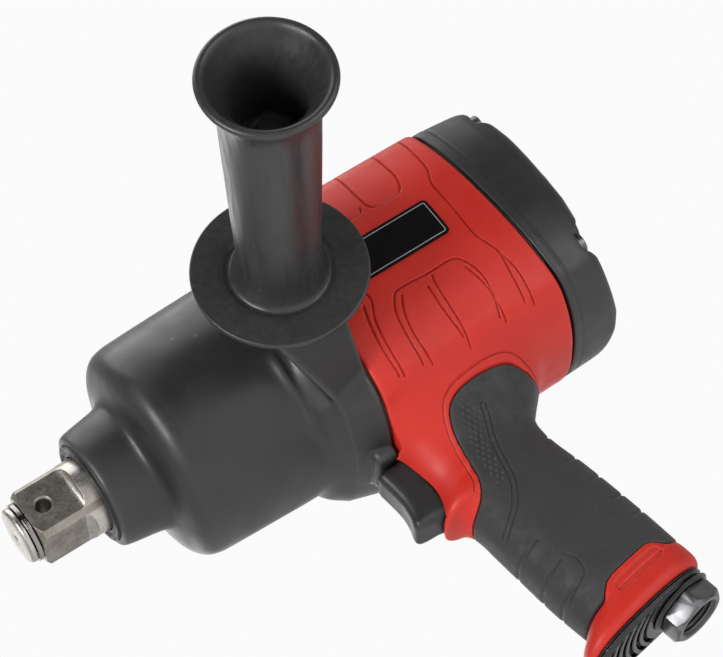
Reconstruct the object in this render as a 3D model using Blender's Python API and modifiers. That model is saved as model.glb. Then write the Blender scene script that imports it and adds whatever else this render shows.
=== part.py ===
"""Air impact wrench with a 1 inch square drive, a pistol grip and a side handle.

The drive axis is X, with the anvil's tip face at the origin and the tool behind it. The side
handle points along +Y and the grip hangs along -Z, raked back. Lengths below are in millimetres
and become metres as each mesh is made. On a turned piece, "along" is the place on its axis.
"""

import math

import bmesh
import bpy

MM = 0.001
GAP = 0.3                       # left between pieces that touch

# Square drive
DRIVE_ACROSS_FLATS = 25.4
DRIVE_CORNER_R = 16.35
DRIVE_START_X = -5.6
DRIVE_END_X = -28.6
CROSS_HOLE_X = -13.8
CROSS_HOLE_R = 3.1
JOURNAL_R = 15.1
ANVIL_REAR_X = -115.5

# Hammer case and the mechanism in it
NOSE_X = -34.6
CASE_R = 47.4
CASE_BORE_R = 42.5
CASE_REAR_X = -140.7
CAGE_R = 40.8
CAGE_FRONT_X = -69.0
CAGE_REAR_X = -124.0
CAGE_DISC = 7.0
HAMMER_R = 33.0
HAMMER_BORE_R = 19.5
HAMMER_PIN_R = 3.0
HAMMER_PIN_OFFSET = 27.0
HAMMER_PIN_FRONT_X = -69.8
HAMMER_PIN_REAR_X = -123.2
HAMMER_FIRST_X = -77.0
HAMMER_LENGTH = 18.6
HAMMER_PITCH = 20.4

# Motor
HOUSING_FRONT_X = -141.9
HOUSING_REAR_X = -224.6
REAR_LEAN = 0.08                # the rear joint runs forward by this for each unit of height
MOTOR_BORE_R = 44.3
SLEEVE_R = 43.9                 # outside of the cylinder and its end plates
CYLINDER_BORE_R = 29.0
CYLINDER_OFFSET = 3.0
ROTOR_R = 25.4
ROTOR_FRONT_X = -149.8
ROTOR_REAR_X = -204.5
VANES = 6
VANE_DEPTH = 10.3
VANE_THICK = 2.8
VANE_SUNK = 0.5                 # each vane's tip lies this far inside the rotor
BOLT_Y = 34.0
BOLT_Z = 35.0
BOLT_R = 2.4
BOLT_HOLE_R = 2.75
BOLT_HEAD_X = -245.5            # the scallops' floor
BOLT_HEAD_R = 4.3
BOLT_HEAD_HEIGHT = 4.6

# Rear cover and dial
COVER_REAR_X = -254.0
DIAL_R = 31.5
DIAL_FRONT_X = -251.6
DIAL_REAR_X = -258.0
COVER_CAVITY_X = -243.5
STEM_R = 7.2

# Grip: its own frame has x forward across the grip, z up along it and its origin on its axis
GRIP_RAKE = math.radians(10)
GRIP_ORIGIN = (-173.0, 0.0, -100.0)
CORE_INSET = 3.0                # thickness of the rubber over the core
INLET_S = -9.5                  # the inlet's place across the grip
INLET_HOLE_R = 9.9
INLET_HEX = 22.4                # across the flats
SILENCER_S = 11.0
TRIGGER_Z = -79.0
TRIGGER_WIDTH = 18.0

# Side handle
HANDLE_X = -128.8
BOSS_TOP_Y = 74.2
FLANGE_LOW_Y = 77.2
FLANGE_TOP_Y = 80.4
FLANGE_R = 35.0
BELL_TOP_Y = 208.0
STUD_R = 5.0
STUD_HOLE_R = 5.3

FINISHES = {                    # colour, metallic, roughness
    "steel": ((0.42, 0.39, 0.35), 1.0, 0.32),
    "dark_steel": ((0.16, 0.16, 0.17), 0.9, 0.4),
    "bronze": ((0.55, 0.36, 0.16), 1.0, 0.4),
    "case_paint": ((0.035, 0.036, 0.038), 0.3, 0.42),
    "black_plastic": ((0.03, 0.03, 0.032), 0.0, 0.5),
    "red_plastic": ((0.62, 0.035, 0.025), 0.0, 0.42),
    "rubber": ((0.035, 0.035, 0.037), 0.0, 0.75),
    "alloy": ((0.6, 0.6, 0.62), 1.0, 0.4),
    "fibre": ((0.2, 0.17, 0.13), 0.0, 0.8),
    "label": ((0.008, 0.008, 0.009), 0.0, 0.3),
}


def clear_scene():
    for obj in list(bpy.data.objects):
        bpy.data.objects.remove(obj, do_unlink=True)


def new_collection(name):
    collection = bpy.data.collections.new(name)
    bpy.context.scene.collection.children.link(collection)
    return collection


clear_scene()
TOOL = new_collection("impact_wrench")
CUTTERS = new_collection("cutters")


def finish_of(name, finish):
    colour, metallic, roughness = FINISHES[finish]
    material = bpy.data.materials.new(name)
    material.use_nodes = True
    shader = material.node_tree.nodes["Principled BSDF"]
    shader.inputs["Base Color"].default_value = (*colour, 1.0)
    shader.inputs["Metallic"].default_value = metallic
    shader.inputs["Roughness"].default_value = roughness
    return material


def place(name, mesh, finish, parent=None):
    """An object of the tool, or a hidden cutter where there is no finish."""
    obj = bpy.data.objects.new(name, mesh)
    obj.parent = parent
    if finish:
        TOOL.objects.link(obj)
        obj.data.materials.append(finish_of(name, finish))
    else:
        CUTTERS.objects.link(obj)
        obj.hide_render = True
        obj.display_type = "WIRE"
    return obj


def mesh_of(name, bm):
    bmesh.ops.recalc_face_normals(bm, faces=bm.faces)
    bmesh.ops.scale(bm, vec=(MM, MM, MM), verts=bm.verts)
    mesh = bpy.data.meshes.new(name)
    bm.to_mesh(mesh)
    bm.free()
    return mesh


AXIS_TURN = {"X": (0, math.pi / 2, 0), "Y": (-math.pi / 2, 0, 0), "Z": (0, 0, 0)}


def turned(name, profile, finish=None, axis="X", at=(0, 0, 0), hollow=False, steps=24, parent=None):
    """A turned piece. The profile's (along, radius) points run down the outer side."""
    mesh = bpy.data.meshes.new(name)
    points = [(radius * MM, 0, along * MM) for along, radius in profile]
    edges = [(i, i + 1) for i in range(len(points) - 1)]
    if hollow:
        edges.append((len(points) - 1, 0))
    mesh.from_pydata(points, edges, [])
    obj = place(name, mesh, finish, parent)
    obj.location = [value * MM for value in at]
    obj.rotation_euler = AXIS_TURN[axis]
    screw = obj.modifiers.new("Screw", "SCREW")
    screw.steps = screw.render_steps = steps
    screw.use_merge_vertices = True
    screw.merge_threshold = 0.00001
    screw.use_smooth_shade = True
    return obj


def rod(name, radius, high, low, finish=None, axis="X", at=(0, 0, 0), steps=16, parent=None):
    profile = [(high, 0), (high, radius), (low, radius), (low, 0)]
    return turned(name, profile, finish, axis, at, steps=steps, parent=parent)


def ring(name, outer, inner, high, low, finish, axis="X", at=(0, 0, 0), steps=24, parent=None):
    profile = [(high, outer), (low, outer), (low, inner), (high, inner)]
    return turned(name, profile, finish, axis, at, True, steps, parent)


def box(name, low, high, finish=None, parent=None):
    bm = bmesh.new()
    bmesh.ops.create_cube(bm, size=1)
    for vert in bm.verts:
        vert.co = [a + (b - a) * (c + 0.5) for a, b, c in zip(low, high, vert.co)]
    return place(name, mesh_of(name, bm), finish, parent)


def prism(name, outline, half_width, finish=None, parent=None):
    """An outline of (x, z) points, made a slab across Y."""
    bm = bmesh.new()
    face = bm.faces.new([bm.verts.new((x, -half_width, z)) for x, z in outline])
    made = bmesh.ops.extrude_face_region(bm, geom=[face])["geom"]
    moved = [item for item in made if isinstance(item, bmesh.types.BMVert)]
    bmesh.ops.translate(bm, verts=moved, vec=(0, 2 * half_width, 0))
    return place(name, mesh_of(name, bm), finish, parent)


def loft(name, rings, finish=None, parent=None):
    """A skin over rings of the same number of points, closed at both ends."""
    bm = bmesh.new()
    loops = [[bm.verts.new(point) for point in points] for points in rings]
    count = len(loops[0])
    for first, second in zip(loops, loops[1:]):
        for i in range(count):
            j = (i + 1) % count
            bm.faces.new((first[i], first[j], second[j], second[i]))
    bm.faces.new(loops[0])
    bm.faces.new(loops[-1])
    obj = place(name, mesh_of(name, bm), finish, parent)
    obj.data.shade_smooth()
    obj.data.set_sharp_from_angle(angle=math.radians(35))
    return obj


def combine(obj, operation, *others):
    for other in others:
        modifier = obj.modifiers.new(other.name, "BOOLEAN")
        modifier.operation = operation
        modifier.object = other
        modifier.solver = "EXACT"
    return obj


def cut(obj, *others):
    return combine(obj, "DIFFERENCE", *others)


def join(obj, *others):
    return combine(obj, "UNION", *others)


def keep_inside(obj, other):
    return combine(obj, "INTERSECT", other)


def rounded(obj, width, segments=2, angle=40):
    bevel = obj.modifiers.new("Bevel", "BEVEL")
    bevel.width = width * MM
    bevel.segments = segments
    bevel.limit_method = "ANGLE"
    bevel.angle_limit = math.radians(angle)
    return obj


def superellipse(count, power, right, left, top, bottom):
    """Points round a rounded square, with its own half size on each side of its centre."""
    points = []
    for i in range(count):
        turn = 2 * math.pi * i / count
        across, up = math.cos(turn), math.sin(turn)
        u = abs(across) ** (2 / power) * (right if across > 0 else -left)
        v = abs(up) ** (2 / power) * (top if up > 0 else -bottom)
        points.append((u, v))
    return points


def body_ring(x, half_y, top, bottom, power, lean=0.0, count=32):
    """A section of the case or housing across the drive axis, leaning by lean per unit height."""
    around = superellipse(count, power, half_y, half_y, top, bottom)
    return [(x + lean * z, y, z) for y, z in around]


def offset_outline(points, distance):
    """The outline moved outwards by distance. Its points run anticlockwise."""
    moved = []
    count = len(points)
    for i, (x, z) in enumerate(points):
        before, after = points[i - 1], points[(i + 1) % count]
        first = (x - before[0], z - before[1])
        second = (after[0] - x, after[1] - z)
        normals = [(b / math.hypot(a, b), -a / math.hypot(a, b)) for a, b in (first, second)]
        nx, nz = normals[0][0] + normals[1][0], normals[0][1] + normals[1][1]
        length = math.hypot(nx, nz)
        moved.append((x + nx / length * distance, z + nz / length * distance))
    return moved


# ---------------------------------------------------------------- anvil

def make_anvil():
    profile = [
        (0, 0), (0, 11.5), (-0.8, 12.1), (-2.6, 12.1), (-2.6, 9.3), (-5.4, 9.3),
        (DRIVE_START_X, 13.8), (DRIVE_START_X - 2.2, DRIVE_CORNER_R), (-36.6, DRIVE_CORNER_R),
        (-37.2, JOURNAL_R), (-62.4, JOURNAL_R), (-62.4, 19.0), (-66.0, 19.0), (-66.6, 12.5),
        (ANVIL_REAR_X, 12.5), (ANVIL_REAR_X, 0),
    ]
    anvil = turned("anvil", profile, "steel")
    half = DRIVE_ACROSS_FLATS / 2
    for i in range(4):
        flat = box(f"flat_{i}", (DRIVE_END_X, -20, half), (DRIVE_START_X + 0.1, 20, 24))
        flat.rotation_euler.x = math.pi * i / 2
        cut(anvil, flat)
    cut(anvil, rod("cross_hole", CROSS_HOLE_R, 20, -20, axis="Y", at=(CROSS_HOLE_X, 0, 0)))
    join(anvil, box("impact_lugs", (-114.5, -4.5, -15.5), (-78, 4.5, 15.5)))


def make_tip_rings():
    friction = ring("friction_ring", 12.8, 11.2, -3.1, -5.1, "dark_steel")
    cut(friction, box("ring_split", (-7, 6, -1.1), (-1, 16, 1.1)))
    o_ring = [(-4.1 + 0.6 * math.cos(a), 10.25 + 0.6 * math.sin(a))
              for a in (math.pi * k / 3 for k in range(6))]
    turned("anvil_o_ring", o_ring, "rubber", hollow=True, steps=24)


# ---------------------------------------------------------------- hammer case

CASE_SECTIONS = [               # x, half width, top, bottom, power
    (NOSE_X, 22.2, 22.2, 22.2, 2), (-36.8, 25.0, 25.0, 25.0, 2), (-47, 27, 27, 27, 2),
    (-53, 28, 28, 28, 2), (-55.8, 30, 30, 30, 2), (-58.2, 40, 40, 40, 2), (-60.6, 44.1, 44.1, 44.1, 2),
    (-64.5, 46.5, 46.5, 46.5, 2), (-70, CASE_R, CASE_R, CASE_R, 2), (-112, 48.6, 48.6, 48.6, 2),
    (-118, 49.6, 51.2, 52.8, 2.45), (-126, 50.3, 53.4, 56.0, 2.95), (CASE_REAR_X, 50.4, 54.0, 56.6, 3.1),
]
BOSS_SECTIONS = [               # y, front x, half height
    (34, -121, 41), (44, -118, 37.5), (60, -112.5, 29), (71.5, -108.5, 22.8), (BOSS_TOP_Y, -110, 21.2),
]
BOLT_PLACES = [(side * BOLT_Y, up * BOLT_Z) for side in (1, -1) for up in (1, -1)]


def bolt_holes(name, high, low, radius=BOLT_HOLE_R):
    return [rod(f"{name}_{i}", radius, high, low, at=(0, y, z), steps=8)
            for i, (y, z) in enumerate(BOLT_PLACES)]


def boss_ring(y, front, half_height):
    middle, half = (front + CASE_REAR_X) / 2, (front - CASE_REAR_X) / 2 - 0.2
    around = superellipse(28, 3.4, half, half, half_height, half_height)
    return [(middle + x, y, z) for x, z in around]


def make_case():
    case = loft("hammer_case", [body_ring(*section) for section in CASE_SECTIONS], "case_paint")
    join(case, loft("handle_boss", [boss_ring(*section) for section in BOSS_SECTIONS]))
    join(case, box("trigger_lug", (CASE_REAR_X, -12.5, -61.3), (-130.5, 12.5, -48)))
    bore = [
        (-30, 0), (-30, 22), (-36.5, 22), (-36.5, 20.8), (-62.0, 20.8), (-62.0, 25), (-66, 30),
        (-68, CASE_BORE_R), (-150, CASE_BORE_R), (-150, 0),
    ]
    cut(case, turned("case_bore", bore))
    cut(case, rod("stud_hole", STUD_HOLE_R, 80, 50, axis="Y", at=(HANDLE_X, 0, 0)))
    cut(case, *bolt_holes("case_thread", -127, -150, 2.7))


def make_nose():
    ring("nose_seal", 21.7, 16.9, -33.6, -36.2, "rubber")
    ring("anvil_bush", 20.4, 15.45, -37.5, -61.6, "bronze")


def make_gaskets():
    inset = 0.5
    front = [body_ring(x, 50.4 - inset, 54 - inset, 56.6 - inset, 3.1) for x in (-141.0, -141.6)]
    gasket = loft("case_gasket", front, "fibre")
    cut(gasket, rod("case_gasket_hole", MOTOR_BORE_R + 0.6, -130, -150, steps=32))
    cut(gasket, *bolt_holes("case_gasket_bolt", -130, -150))
    rear = [body_ring(x, 48, 52, 54.6, 3, REAR_LEAN) for x in (-224.9, -225.4)]
    gasket = loft("rear_gasket", rear, "fibre")
    cut(gasket, rod("rear_gasket_hole", MOTOR_BORE_R + 0.6, -210, -240, steps=32))
    cut(gasket, *bolt_holes("rear_gasket_bolt", -210, -240))


# ---------------------------------------------------------------- twin hammers

def make_cage():
    outline = [
        (CAGE_FRONT_X, CAGE_R), (CAGE_REAR_X, CAGE_R), (CAGE_REAR_X, 8.9),
        (CAGE_REAR_X + CAGE_DISC, 8.9), (CAGE_REAR_X + CAGE_DISC, 36.6),
        (CAGE_FRONT_X - CAGE_DISC, 36.6), (CAGE_FRONT_X - CAGE_DISC, 16.4), (CAGE_FRONT_X, 16.4),
    ]
    cage = turned("hammer_cage", outline, "dark_steel", hollow=True)
    front, rear = CAGE_FRONT_X - CAGE_DISC - 0.6, CAGE_REAR_X + CAGE_DISC + 0.6
    for name, low, high in (("window_above", 22, 46), ("window_below", -46, -22)):
        cut(cage, box(name, (rear, -31, low), (front, 31, high)))
    for side in (1, -1):
        at = (0, 0, side * HAMMER_PIN_OFFSET)
        cut(cage, rod(f"pin_hole_{side}", HAMMER_PIN_R + GAP, -60, -130, at=at, steps=16))


def make_hammers():
    for number, side in ((1, 1), (2, -1)):
        front = HAMMER_FIRST_X - (number - 1) * HAMMER_PITCH
        rear = front - HAMMER_LENGTH
        hammer = ring(f"hammer_{number}", HAMMER_R, HAMMER_BORE_R, front, rear, "steel")
        at = (0, 0, side * HAMMER_PIN_OFFSET)
        cut(hammer, rod(f"hammer_hole_{number}", HAMMER_PIN_R + 0.4, -70, -125, at=at, steps=16))
        low, high = sorted((-side * 22.9, -side * 40))
        cut(hammer, box(f"rocking_slot_{number}", (-125, -9.6, low), (-70, 9.6, high)))
        rod(f"hammer_pin_{number}", HAMMER_PIN_R, HAMMER_PIN_FRONT_X, HAMMER_PIN_REAR_X, "steel", at=at)


# ---------------------------------------------------------------- air motor

def make_motor():
    ring("front_end_plate", SLEEVE_R, 13.4, -141.2, -149.0, "alloy")
    ring("rear_end_plate", SLEEVE_R, 12.4, -205.3, -212.0, "alloy")
    ring("front_bearing", 13.1, 8.9, -141.6, -148.6, "steel", steps=20)
    ring("rear_bearing", 12.1, 8.4, -205.7, -211.6, "steel", steps=20)
    cylinder = rod("motor_cylinder", SLEEVE_R, -149.3, -205.0, "dark_steel", steps=32)
    at = (0, 0, CYLINDER_OFFSET)
    cut(cylinder, rod("cylinder_bore", CYLINDER_BORE_R, -140, -215, at=at, steps=32))
    for i in range(4):
        port = rod(f"exhaust_port_{i}", 3.5, -20, -50, axis="Z", at=(-160 - 11 * i, 0, 0), steps=8)
        cut(cylinder, port)


def make_rotor():
    profile = [
        (-117.8, 0), (-117.8, 8.0), (-118.3, 8.5), (-149.5, 8.5), (-149.5, 12), (ROTOR_FRONT_X, 12),
        (ROTOR_FRONT_X, ROTOR_R), (ROTOR_REAR_X, ROTOR_R), (ROTOR_REAR_X, 11), (-205.0, 11),
        (-205.0, 8.0), (-213.6, 8.0), (-213.6, 0),
    ]
    rotor = turned("rotor", profile, "steel")
    tip = ROTOR_R - VANE_SUNK
    foot = tip - VANE_DEPTH
    half = VANE_THICK / 2
    for i in range(VANES):
        turn = 2 * math.pi * i / VANES
        slot = box(f"vane_slot_{i + 1}", (ROTOR_REAR_X - 0.4, -half - GAP, foot - GAP),
                   (ROTOR_FRONT_X + 0.2, half + GAP, ROTOR_R + 4))
        slot.rotation_euler.x = turn
        cut(rotor, slot)
        vane = box(f"rotor_vane_{i + 1}", (ROTOR_REAR_X + GAP, -half, foot),
                   (ROTOR_FRONT_X - GAP, half, tip), "fibre")
        vane.rotation_euler.x = turn


# ---------------------------------------------------------------- rear cover and dial

def make_rear_cover():
    sections = [
        body_ring(-225.7, 48.9, 52.9, 56.0, 3, REAR_LEAN), body_ring(-242, 48.0, 52.0, 55.8, 3, 0.06),
        body_ring(-249.4, 47.2, 51.0, 55.2, 3, 0.03), body_ring(-252.6, 45.4, 49.2, 53.2, 3, 0.01),
        body_ring(COVER_REAR_X, 41.5, 45.5, 49.5, 3, 0.0),
    ]
    cover = loft("rear_cover", sections, "black_plastic")
    cut(cover, rod("cover_cavity", MOTOR_BORE_R, -210, COVER_CAVITY_X, steps=32))
    cut(cover, rod("dial_recess", DIAL_R + 0.6, DIAL_FRONT_X + GAP, -270, steps=32))
    cut(cover, rod("stem_hole", STEM_R + 0.4, -230, -260))
    cut(cover, *bolt_holes("cover_bolt", -210, -270))
    cut(cover, *bolt_holes("cover_scallop", BOLT_HEAD_X, -270, 8.5))


def make_dial():
    profile = [
        (DIAL_FRONT_X, 0), (DIAL_FRONT_X, DIAL_R - 1), (DIAL_FRONT_X - 1, DIAL_R),
        (DIAL_REAR_X + 2.5, DIAL_R), (DIAL_REAR_X + 0.6, DIAL_R - 1.2),
        (DIAL_REAR_X, DIAL_R - 4), (DIAL_REAR_X, 0),
    ]
    dial = turned("reverse_dial", profile, "black_plastic")
    for i in range(8):
        turn = 2 * math.pi * (i + 0.5) / 8
        at = (0, (DIAL_R + 1.2) * math.cos(turn), (DIAL_R + 1.2) * math.sin(turn))
        cut(dial, rod(f"finger_notch_{i}", 3.2, -254.2, -262, at=at, steps=8))
    cut(dial, rod("dial_screw_hole", 2.4, -240, -262, steps=16))
    cut(dial, rod("dial_screw_sink", 4.6, -255.5, -262, steps=16))
    stem = [
        (-216, 0), (-216, 26), (-223, 26), (-223, STEM_R), (-251.2, STEM_R), (-251.2, 2.4),
        (-240, 2.4), (-240, 0),
    ]
    valve = turned("reverse_valve", stem, "alloy")
    for i in range(3):
        turn = 2 * math.pi * i / 3
        at = (0, 17 * math.cos(turn), 17 * math.sin(turn))
        cut(valve, rod(f"valve_port_{i}", 4, -210, -230, at=at, steps=8))
    screw = [(-241, 0), (-241, 2.0), (-255.8, 2.0), (-255.8, 4.1), (-257.6, 4.1), (-257.6, 0)]
    dial_screw = turned("dial_screw", screw, "dark_steel", steps=16)
    cut(dial_screw, box("screw_slot", (-260, -0.5, -6), (-257.0, 0.5, 6)))


def make_bolts():
    under_head = BOLT_HEAD_X - GAP
    top = under_head - BOLT_HEAD_HEIGHT
    profile = [
        (-128, 0), (-128, BOLT_R), (under_head, BOLT_R), (under_head, BOLT_HEAD_R),
        (top, BOLT_HEAD_R), (top, 0),
    ]
    for i, (y, z) in enumerate(BOLT_PLACES):
        bolt = turned(f"housing_bolt_{i + 1}", profile, "dark_steel", at=(0, y, z), steps=8)
        socket = rod(f"bolt_socket_{i + 1}", 2.3, top + 2.6, top - 3, at=(0, y, z), steps=6)
        cut(bolt, socket)


# ---------------------------------------------------------------- grip

GRIP_SECTIONS = [               # down, rear, front, half width
    (-53, -47, 26, 33), (-44, -46.5, 26.2, 30.5), (-36, -44, 26.5, 25.5), (-29, -40, 26.7, 22),
    (-23.5, -33, 27.1, 20.3), (-18.5, -27.2, 28.2, 19.6), (-14, -25.3, 30.2, 19.2),
    (-10.6, -24.8, 32.8, 19), (-8.6, -24.6, 34.2, 18.9), (-6.6, -24.5, 33, 18.8),
    (-3, -24.4, 26.6, 18.8), (3, -24.6, 24.6, 18.8), (20, -25.2, 25.2, 19.3),
    (42, -25.5, 26.1, 19.5), (60.5, -25.2, 25.7, 19.3),
]
RUBBER_EDGE = [                 # the rubber's upper border in the tool's (x, z), front to back
    (-125, -107), (-146, -102.2), (-152.3, -99.7), (-156, -96), (-158.4, -90), (-159.4, -80),
    (-161, -70), (-164.2, -63.2), (-170, -59.6), (-178, -58.1), (-188, -57.7), (-196.3, -58.6),
    (-201, -62.4), (-206, -66.6), (-225, -68),
]
RUBBER_END = 59.4               # how far down the grip the rubber reaches
TAB_OUTLINE = [                 # the base cap's side tab, in the grip's own (x, z)
    (-19, -61.2), (18.5, -61.2), (14.8, -57.8), (11.5, -55.6), (8, -54.9), (-10.8, -54.9),
    (-13.2, -56), (-17, -59.6),
]


def to_grip(x, z):
    """The tool's (x, z) in the grip's own frame."""
    dx, dz = x - GRIP_ORIGIN[0], z - GRIP_ORIGIN[2]
    c, s = math.cos(GRIP_RAKE), math.sin(GRIP_RAKE)
    return dx * c - dz * s, dx * s + dz * c


def grip_ring(down, rear, front, half_width, power=2.6, count=24):
    middle, half = (front + rear) / 2, (front - rear) / 2
    around = superellipse(count, power, half, half, half_width, half_width)
    return [(middle + x, y, -down) for x, y in around]


def grip_skin(name, grow, finish, parent, last=60.5):
    """The outside of the grip, grown or shrunk all round, down to the last section."""
    rings = []
    for down, rear, front, half_width in GRIP_SECTIONS:
        if grow < 0 and -30 < down < 0:
            front = 26.6 if down < -5 else front
        rings.append(grip_ring(min(down, last), rear - grow, front + grow, half_width + grow))
    return loft(name, rings, finish, parent)


def rubber_region(name, grow, end, parent):
    edge = [to_grip(x, z) for x, z in RUBBER_EDGE]
    outline = [(edge[0][0], -end), *edge, (edge[-1][0], -end)]
    return prism(name, offset_outline(outline, grow), 60, parent=parent)


def make_grip_frame():
    frame = bpy.data.objects.new("grip_frame", None)
    TOOL.objects.link(frame)
    frame.location = [value * MM for value in GRIP_ORIGIN]
    frame.rotation_euler.y = GRIP_RAKE
    return frame


def make_housing(grip):
    sections = [
        body_ring(HOUSING_FRONT_X, 50.2, 54, 56.6, 3.1), body_ring(-160, 50.6, 54.4, 56.6, 3.05),
        body_ring(-195, 50.4, 54.4, 56.6, 3, 0.03), body_ring(-216, 49.8, 54, 56.4, 3, REAR_LEAN),
        body_ring(HOUSING_REAR_X, 49.2, 53.6, 56.2, 3, REAR_LEAN),
    ]
    housing = loft("motor_housing", sections, "red_plastic")
    front = grip_skin("grip_front", 0, None, grip)
    cut(front, rubber_region("rubber_space", GAP, 90, grip))
    core = grip_skin("grip_core", -CORE_INSET, None, grip, last=57.5)
    case_space = box("case_space", (HOUSING_FRONT_X + 0.1, -45, -61.8), (-110, 45, -20))
    cut(front, case_space)
    cut(core, case_space)
    join(housing, front, core)
    cut(housing, rod("motor_bore", MOTOR_BORE_R, -130, -240, steps=32))
    cut(housing, *bolt_holes("housing_bolt_hole", -130, -240))
    half = TRIGGER_WIDTH / 2 + 0.5
    cut(housing, box("trigger_pocket", (-153, -half, -94.2), (-120, half, -61.8)))
    cut(housing, rod("throttle_bore", 9.3, -150, -186, at=(0, 0, TRIGGER_Z), steps=20))
    cut(housing, rod("air_way", 6.5, 15, -45, axis="Z", at=(INLET_S, 0, 0), parent=grip))
    cut(housing, rod("inlet_thread", 9.8, -30, -70, axis="Z", at=(INLET_S, 0, 0), parent=grip))
    cut(housing, rod("silencer_bore", 8.2, -8, -70, axis="Z", at=(SILENCER_S, 0, 0), parent=grip))
    for side in (1, -1):
        at = (6, side * 12.4, 0)
        cut(housing, rod(f"exhaust_way_{side}", 2.3, 62, -14, axis="Z", at=at, steps=12, parent=grip))


def make_rubber(grip):
    rubber = grip_skin("grip_rubber", 0, "rubber", grip)
    keep_inside(rubber, rubber_region("rubber_limit", 0, RUBBER_END, grip))
    cut(rubber, grip_skin("core_space", GAP - CORE_INSET, None, grip))
    cut(rubber, prism("tab_space", offset_outline(TAB_OUTLINE, GAP), 60, parent=grip))


def make_throttle():
    outline = [
        (-131.4, -62.2), (-146, -62.3), (-146, -93.6), (-131.6, -93.4), (-129.7, -91.4), (-130, -88.6),
        (-131.7, -84.5), (-132.3, -79), (-131.9, -73.5), (-131, -68.5), (-130.4, -64.2),
    ]
    trigger = prism("trigger", outline, TRIGGER_WIDTH / 2, "black_plastic")
    rounded(trigger, 1.6)
    at = (0, 0, TRIGGER_Z)
    cut(trigger, rod("stem_socket", 2.5, -139, -150, at=at, steps=16))
    rod("trigger_stem", 2.2, -139.4, -164.2, "steel", at=at, steps=16)
    bushing = [
        (-153.4, 9.0), (-164.2, 9.0), (-164.2, 5.6), (-158.5, 5.6), (-158.5, 2.6), (-153.4, 2.6),
    ]
    seat = turned("throttle_bushing", bushing, "bronze", at=at, hollow=True, steps=16)
    cut(seat, rod("air_port_across", 1.8, 15, -15, axis="Y", at=(-161.2, 0, TRIGGER_Z), steps=8))
    plug = [(-164.6, 0), (-164.6, 7.0), (-168.2, 7.0), (-168.2, 3.0), (-171.5, 3.0), (-171.5, 0)]
    turned("throttle_valve", plug, "bronze", at=at, steps=16)


def make_spring():
    turns, points_per_turn, coil_r, wire_r = 4, 9, 4.4, 0.6
    front, rear = -169.3, -184.9
    curve = bpy.data.curves.new("throttle_spring", "CURVE")
    curve.dimensions = "3D"
    curve.bevel_depth = wire_r * MM
    curve.bevel_resolution = 1
    curve.use_fill_caps = True
    spline = curve.splines.new("POLY")
    count = turns * points_per_turn
    spline.points.add(count)
    for i, point in enumerate(spline.points):
        turn = 2 * math.pi * i / points_per_turn
        x = front + (rear - front) * i / count
        place_at = (x, coil_r * math.cos(turn), TRIGGER_Z + coil_r * math.sin(turn))
        point.co = (*(value * MM for value in place_at), 1)
    obj = bpy.data.objects.new("throttle_spring", curve)
    obj.data.materials.append(finish_of("throttle_spring", "steel"))
    TOOL.objects.link(obj)


# ---------------------------------------------------------------- base and inlet

BASE_SECTIONS = [               # down, rear, front, half width
    (59.8, -25.4, 25.9, 19.5), (62.4, -25.7, 29.4, 19.9), (65.4, -25.8, 34.2, 20.2),
    (69.2, -25.5, 37.4, 20.2), (72, -24, 37.2, 18.9),
]


DUCT_OUTLINE = [(3.5, -56), (3.5, -72.8), (30, -72.8), (28, -66), (20, -60), (18.5, -56)]


def make_base(grip):
    cap = loft("base_cap", [grip_ring(*section) for section in BASE_SECTIONS], "red_plastic", grip)
    tab = grip_skin("base_tab", 0, None, grip)
    keep_inside(tab, prism("tab_limit", TAB_OUTLINE, 60, parent=grip))
    join(cap, tab)
    cut(cap, grip_skin("cap_core_space", GAP - CORE_INSET, None, grip, last=57.8))
    cut(cap, rod("cap_inlet_hole", INLET_HOLE_R, -50, -80, axis="Z", at=(INLET_S, 0, 0), parent=grip))
    cut(cap, prism("cap_duct", DUCT_OUTLINE, 12, parent=grip))
    thin = [grip_ring(down, -22.8, 35.8, 17.7) for down in (72.3, 73.0)]
    gasket = loft("base_gasket", thin, "rubber", grip)
    cut(gasket, rod("gasket_inlet_hole", INLET_HOLE_R, -50, -80, axis="Z", at=(INLET_S, 0, 0), parent=grip))
    cut(gasket, box("gasket_slot", (5, -12, -80), (30, 12, -70), parent=grip))
    plate = [
        grip_ring(73.3, -23.2, 36.2, 18), grip_ring(74.4, -22.4, 35.2, 17.2),
        grip_ring(75.4, -21.4, 34, 16),
    ]
    deflector = loft("exhaust_deflector", plate, "black_plastic", grip)
    cut(deflector, rod("deflector_hole", INLET_HOLE_R, -50, -80, axis="Z", at=(INLET_S, 0, 0), parent=grip))
    for i in range(6):
        x = 9.5 + 3.6 * i
        half = 11.5 - 0.12 * i * i
        louvre = box(f"louvre_{i}", (x, -half, -80), (x + 1.9, half, -72), parent=grip)
        cut(deflector, louvre)
    rod("exhaust_silencer", 7.8, -10, -57, "fibre", axis="Z", at=(SILENCER_S, 0, 0), steps=20, parent=grip)


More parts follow.
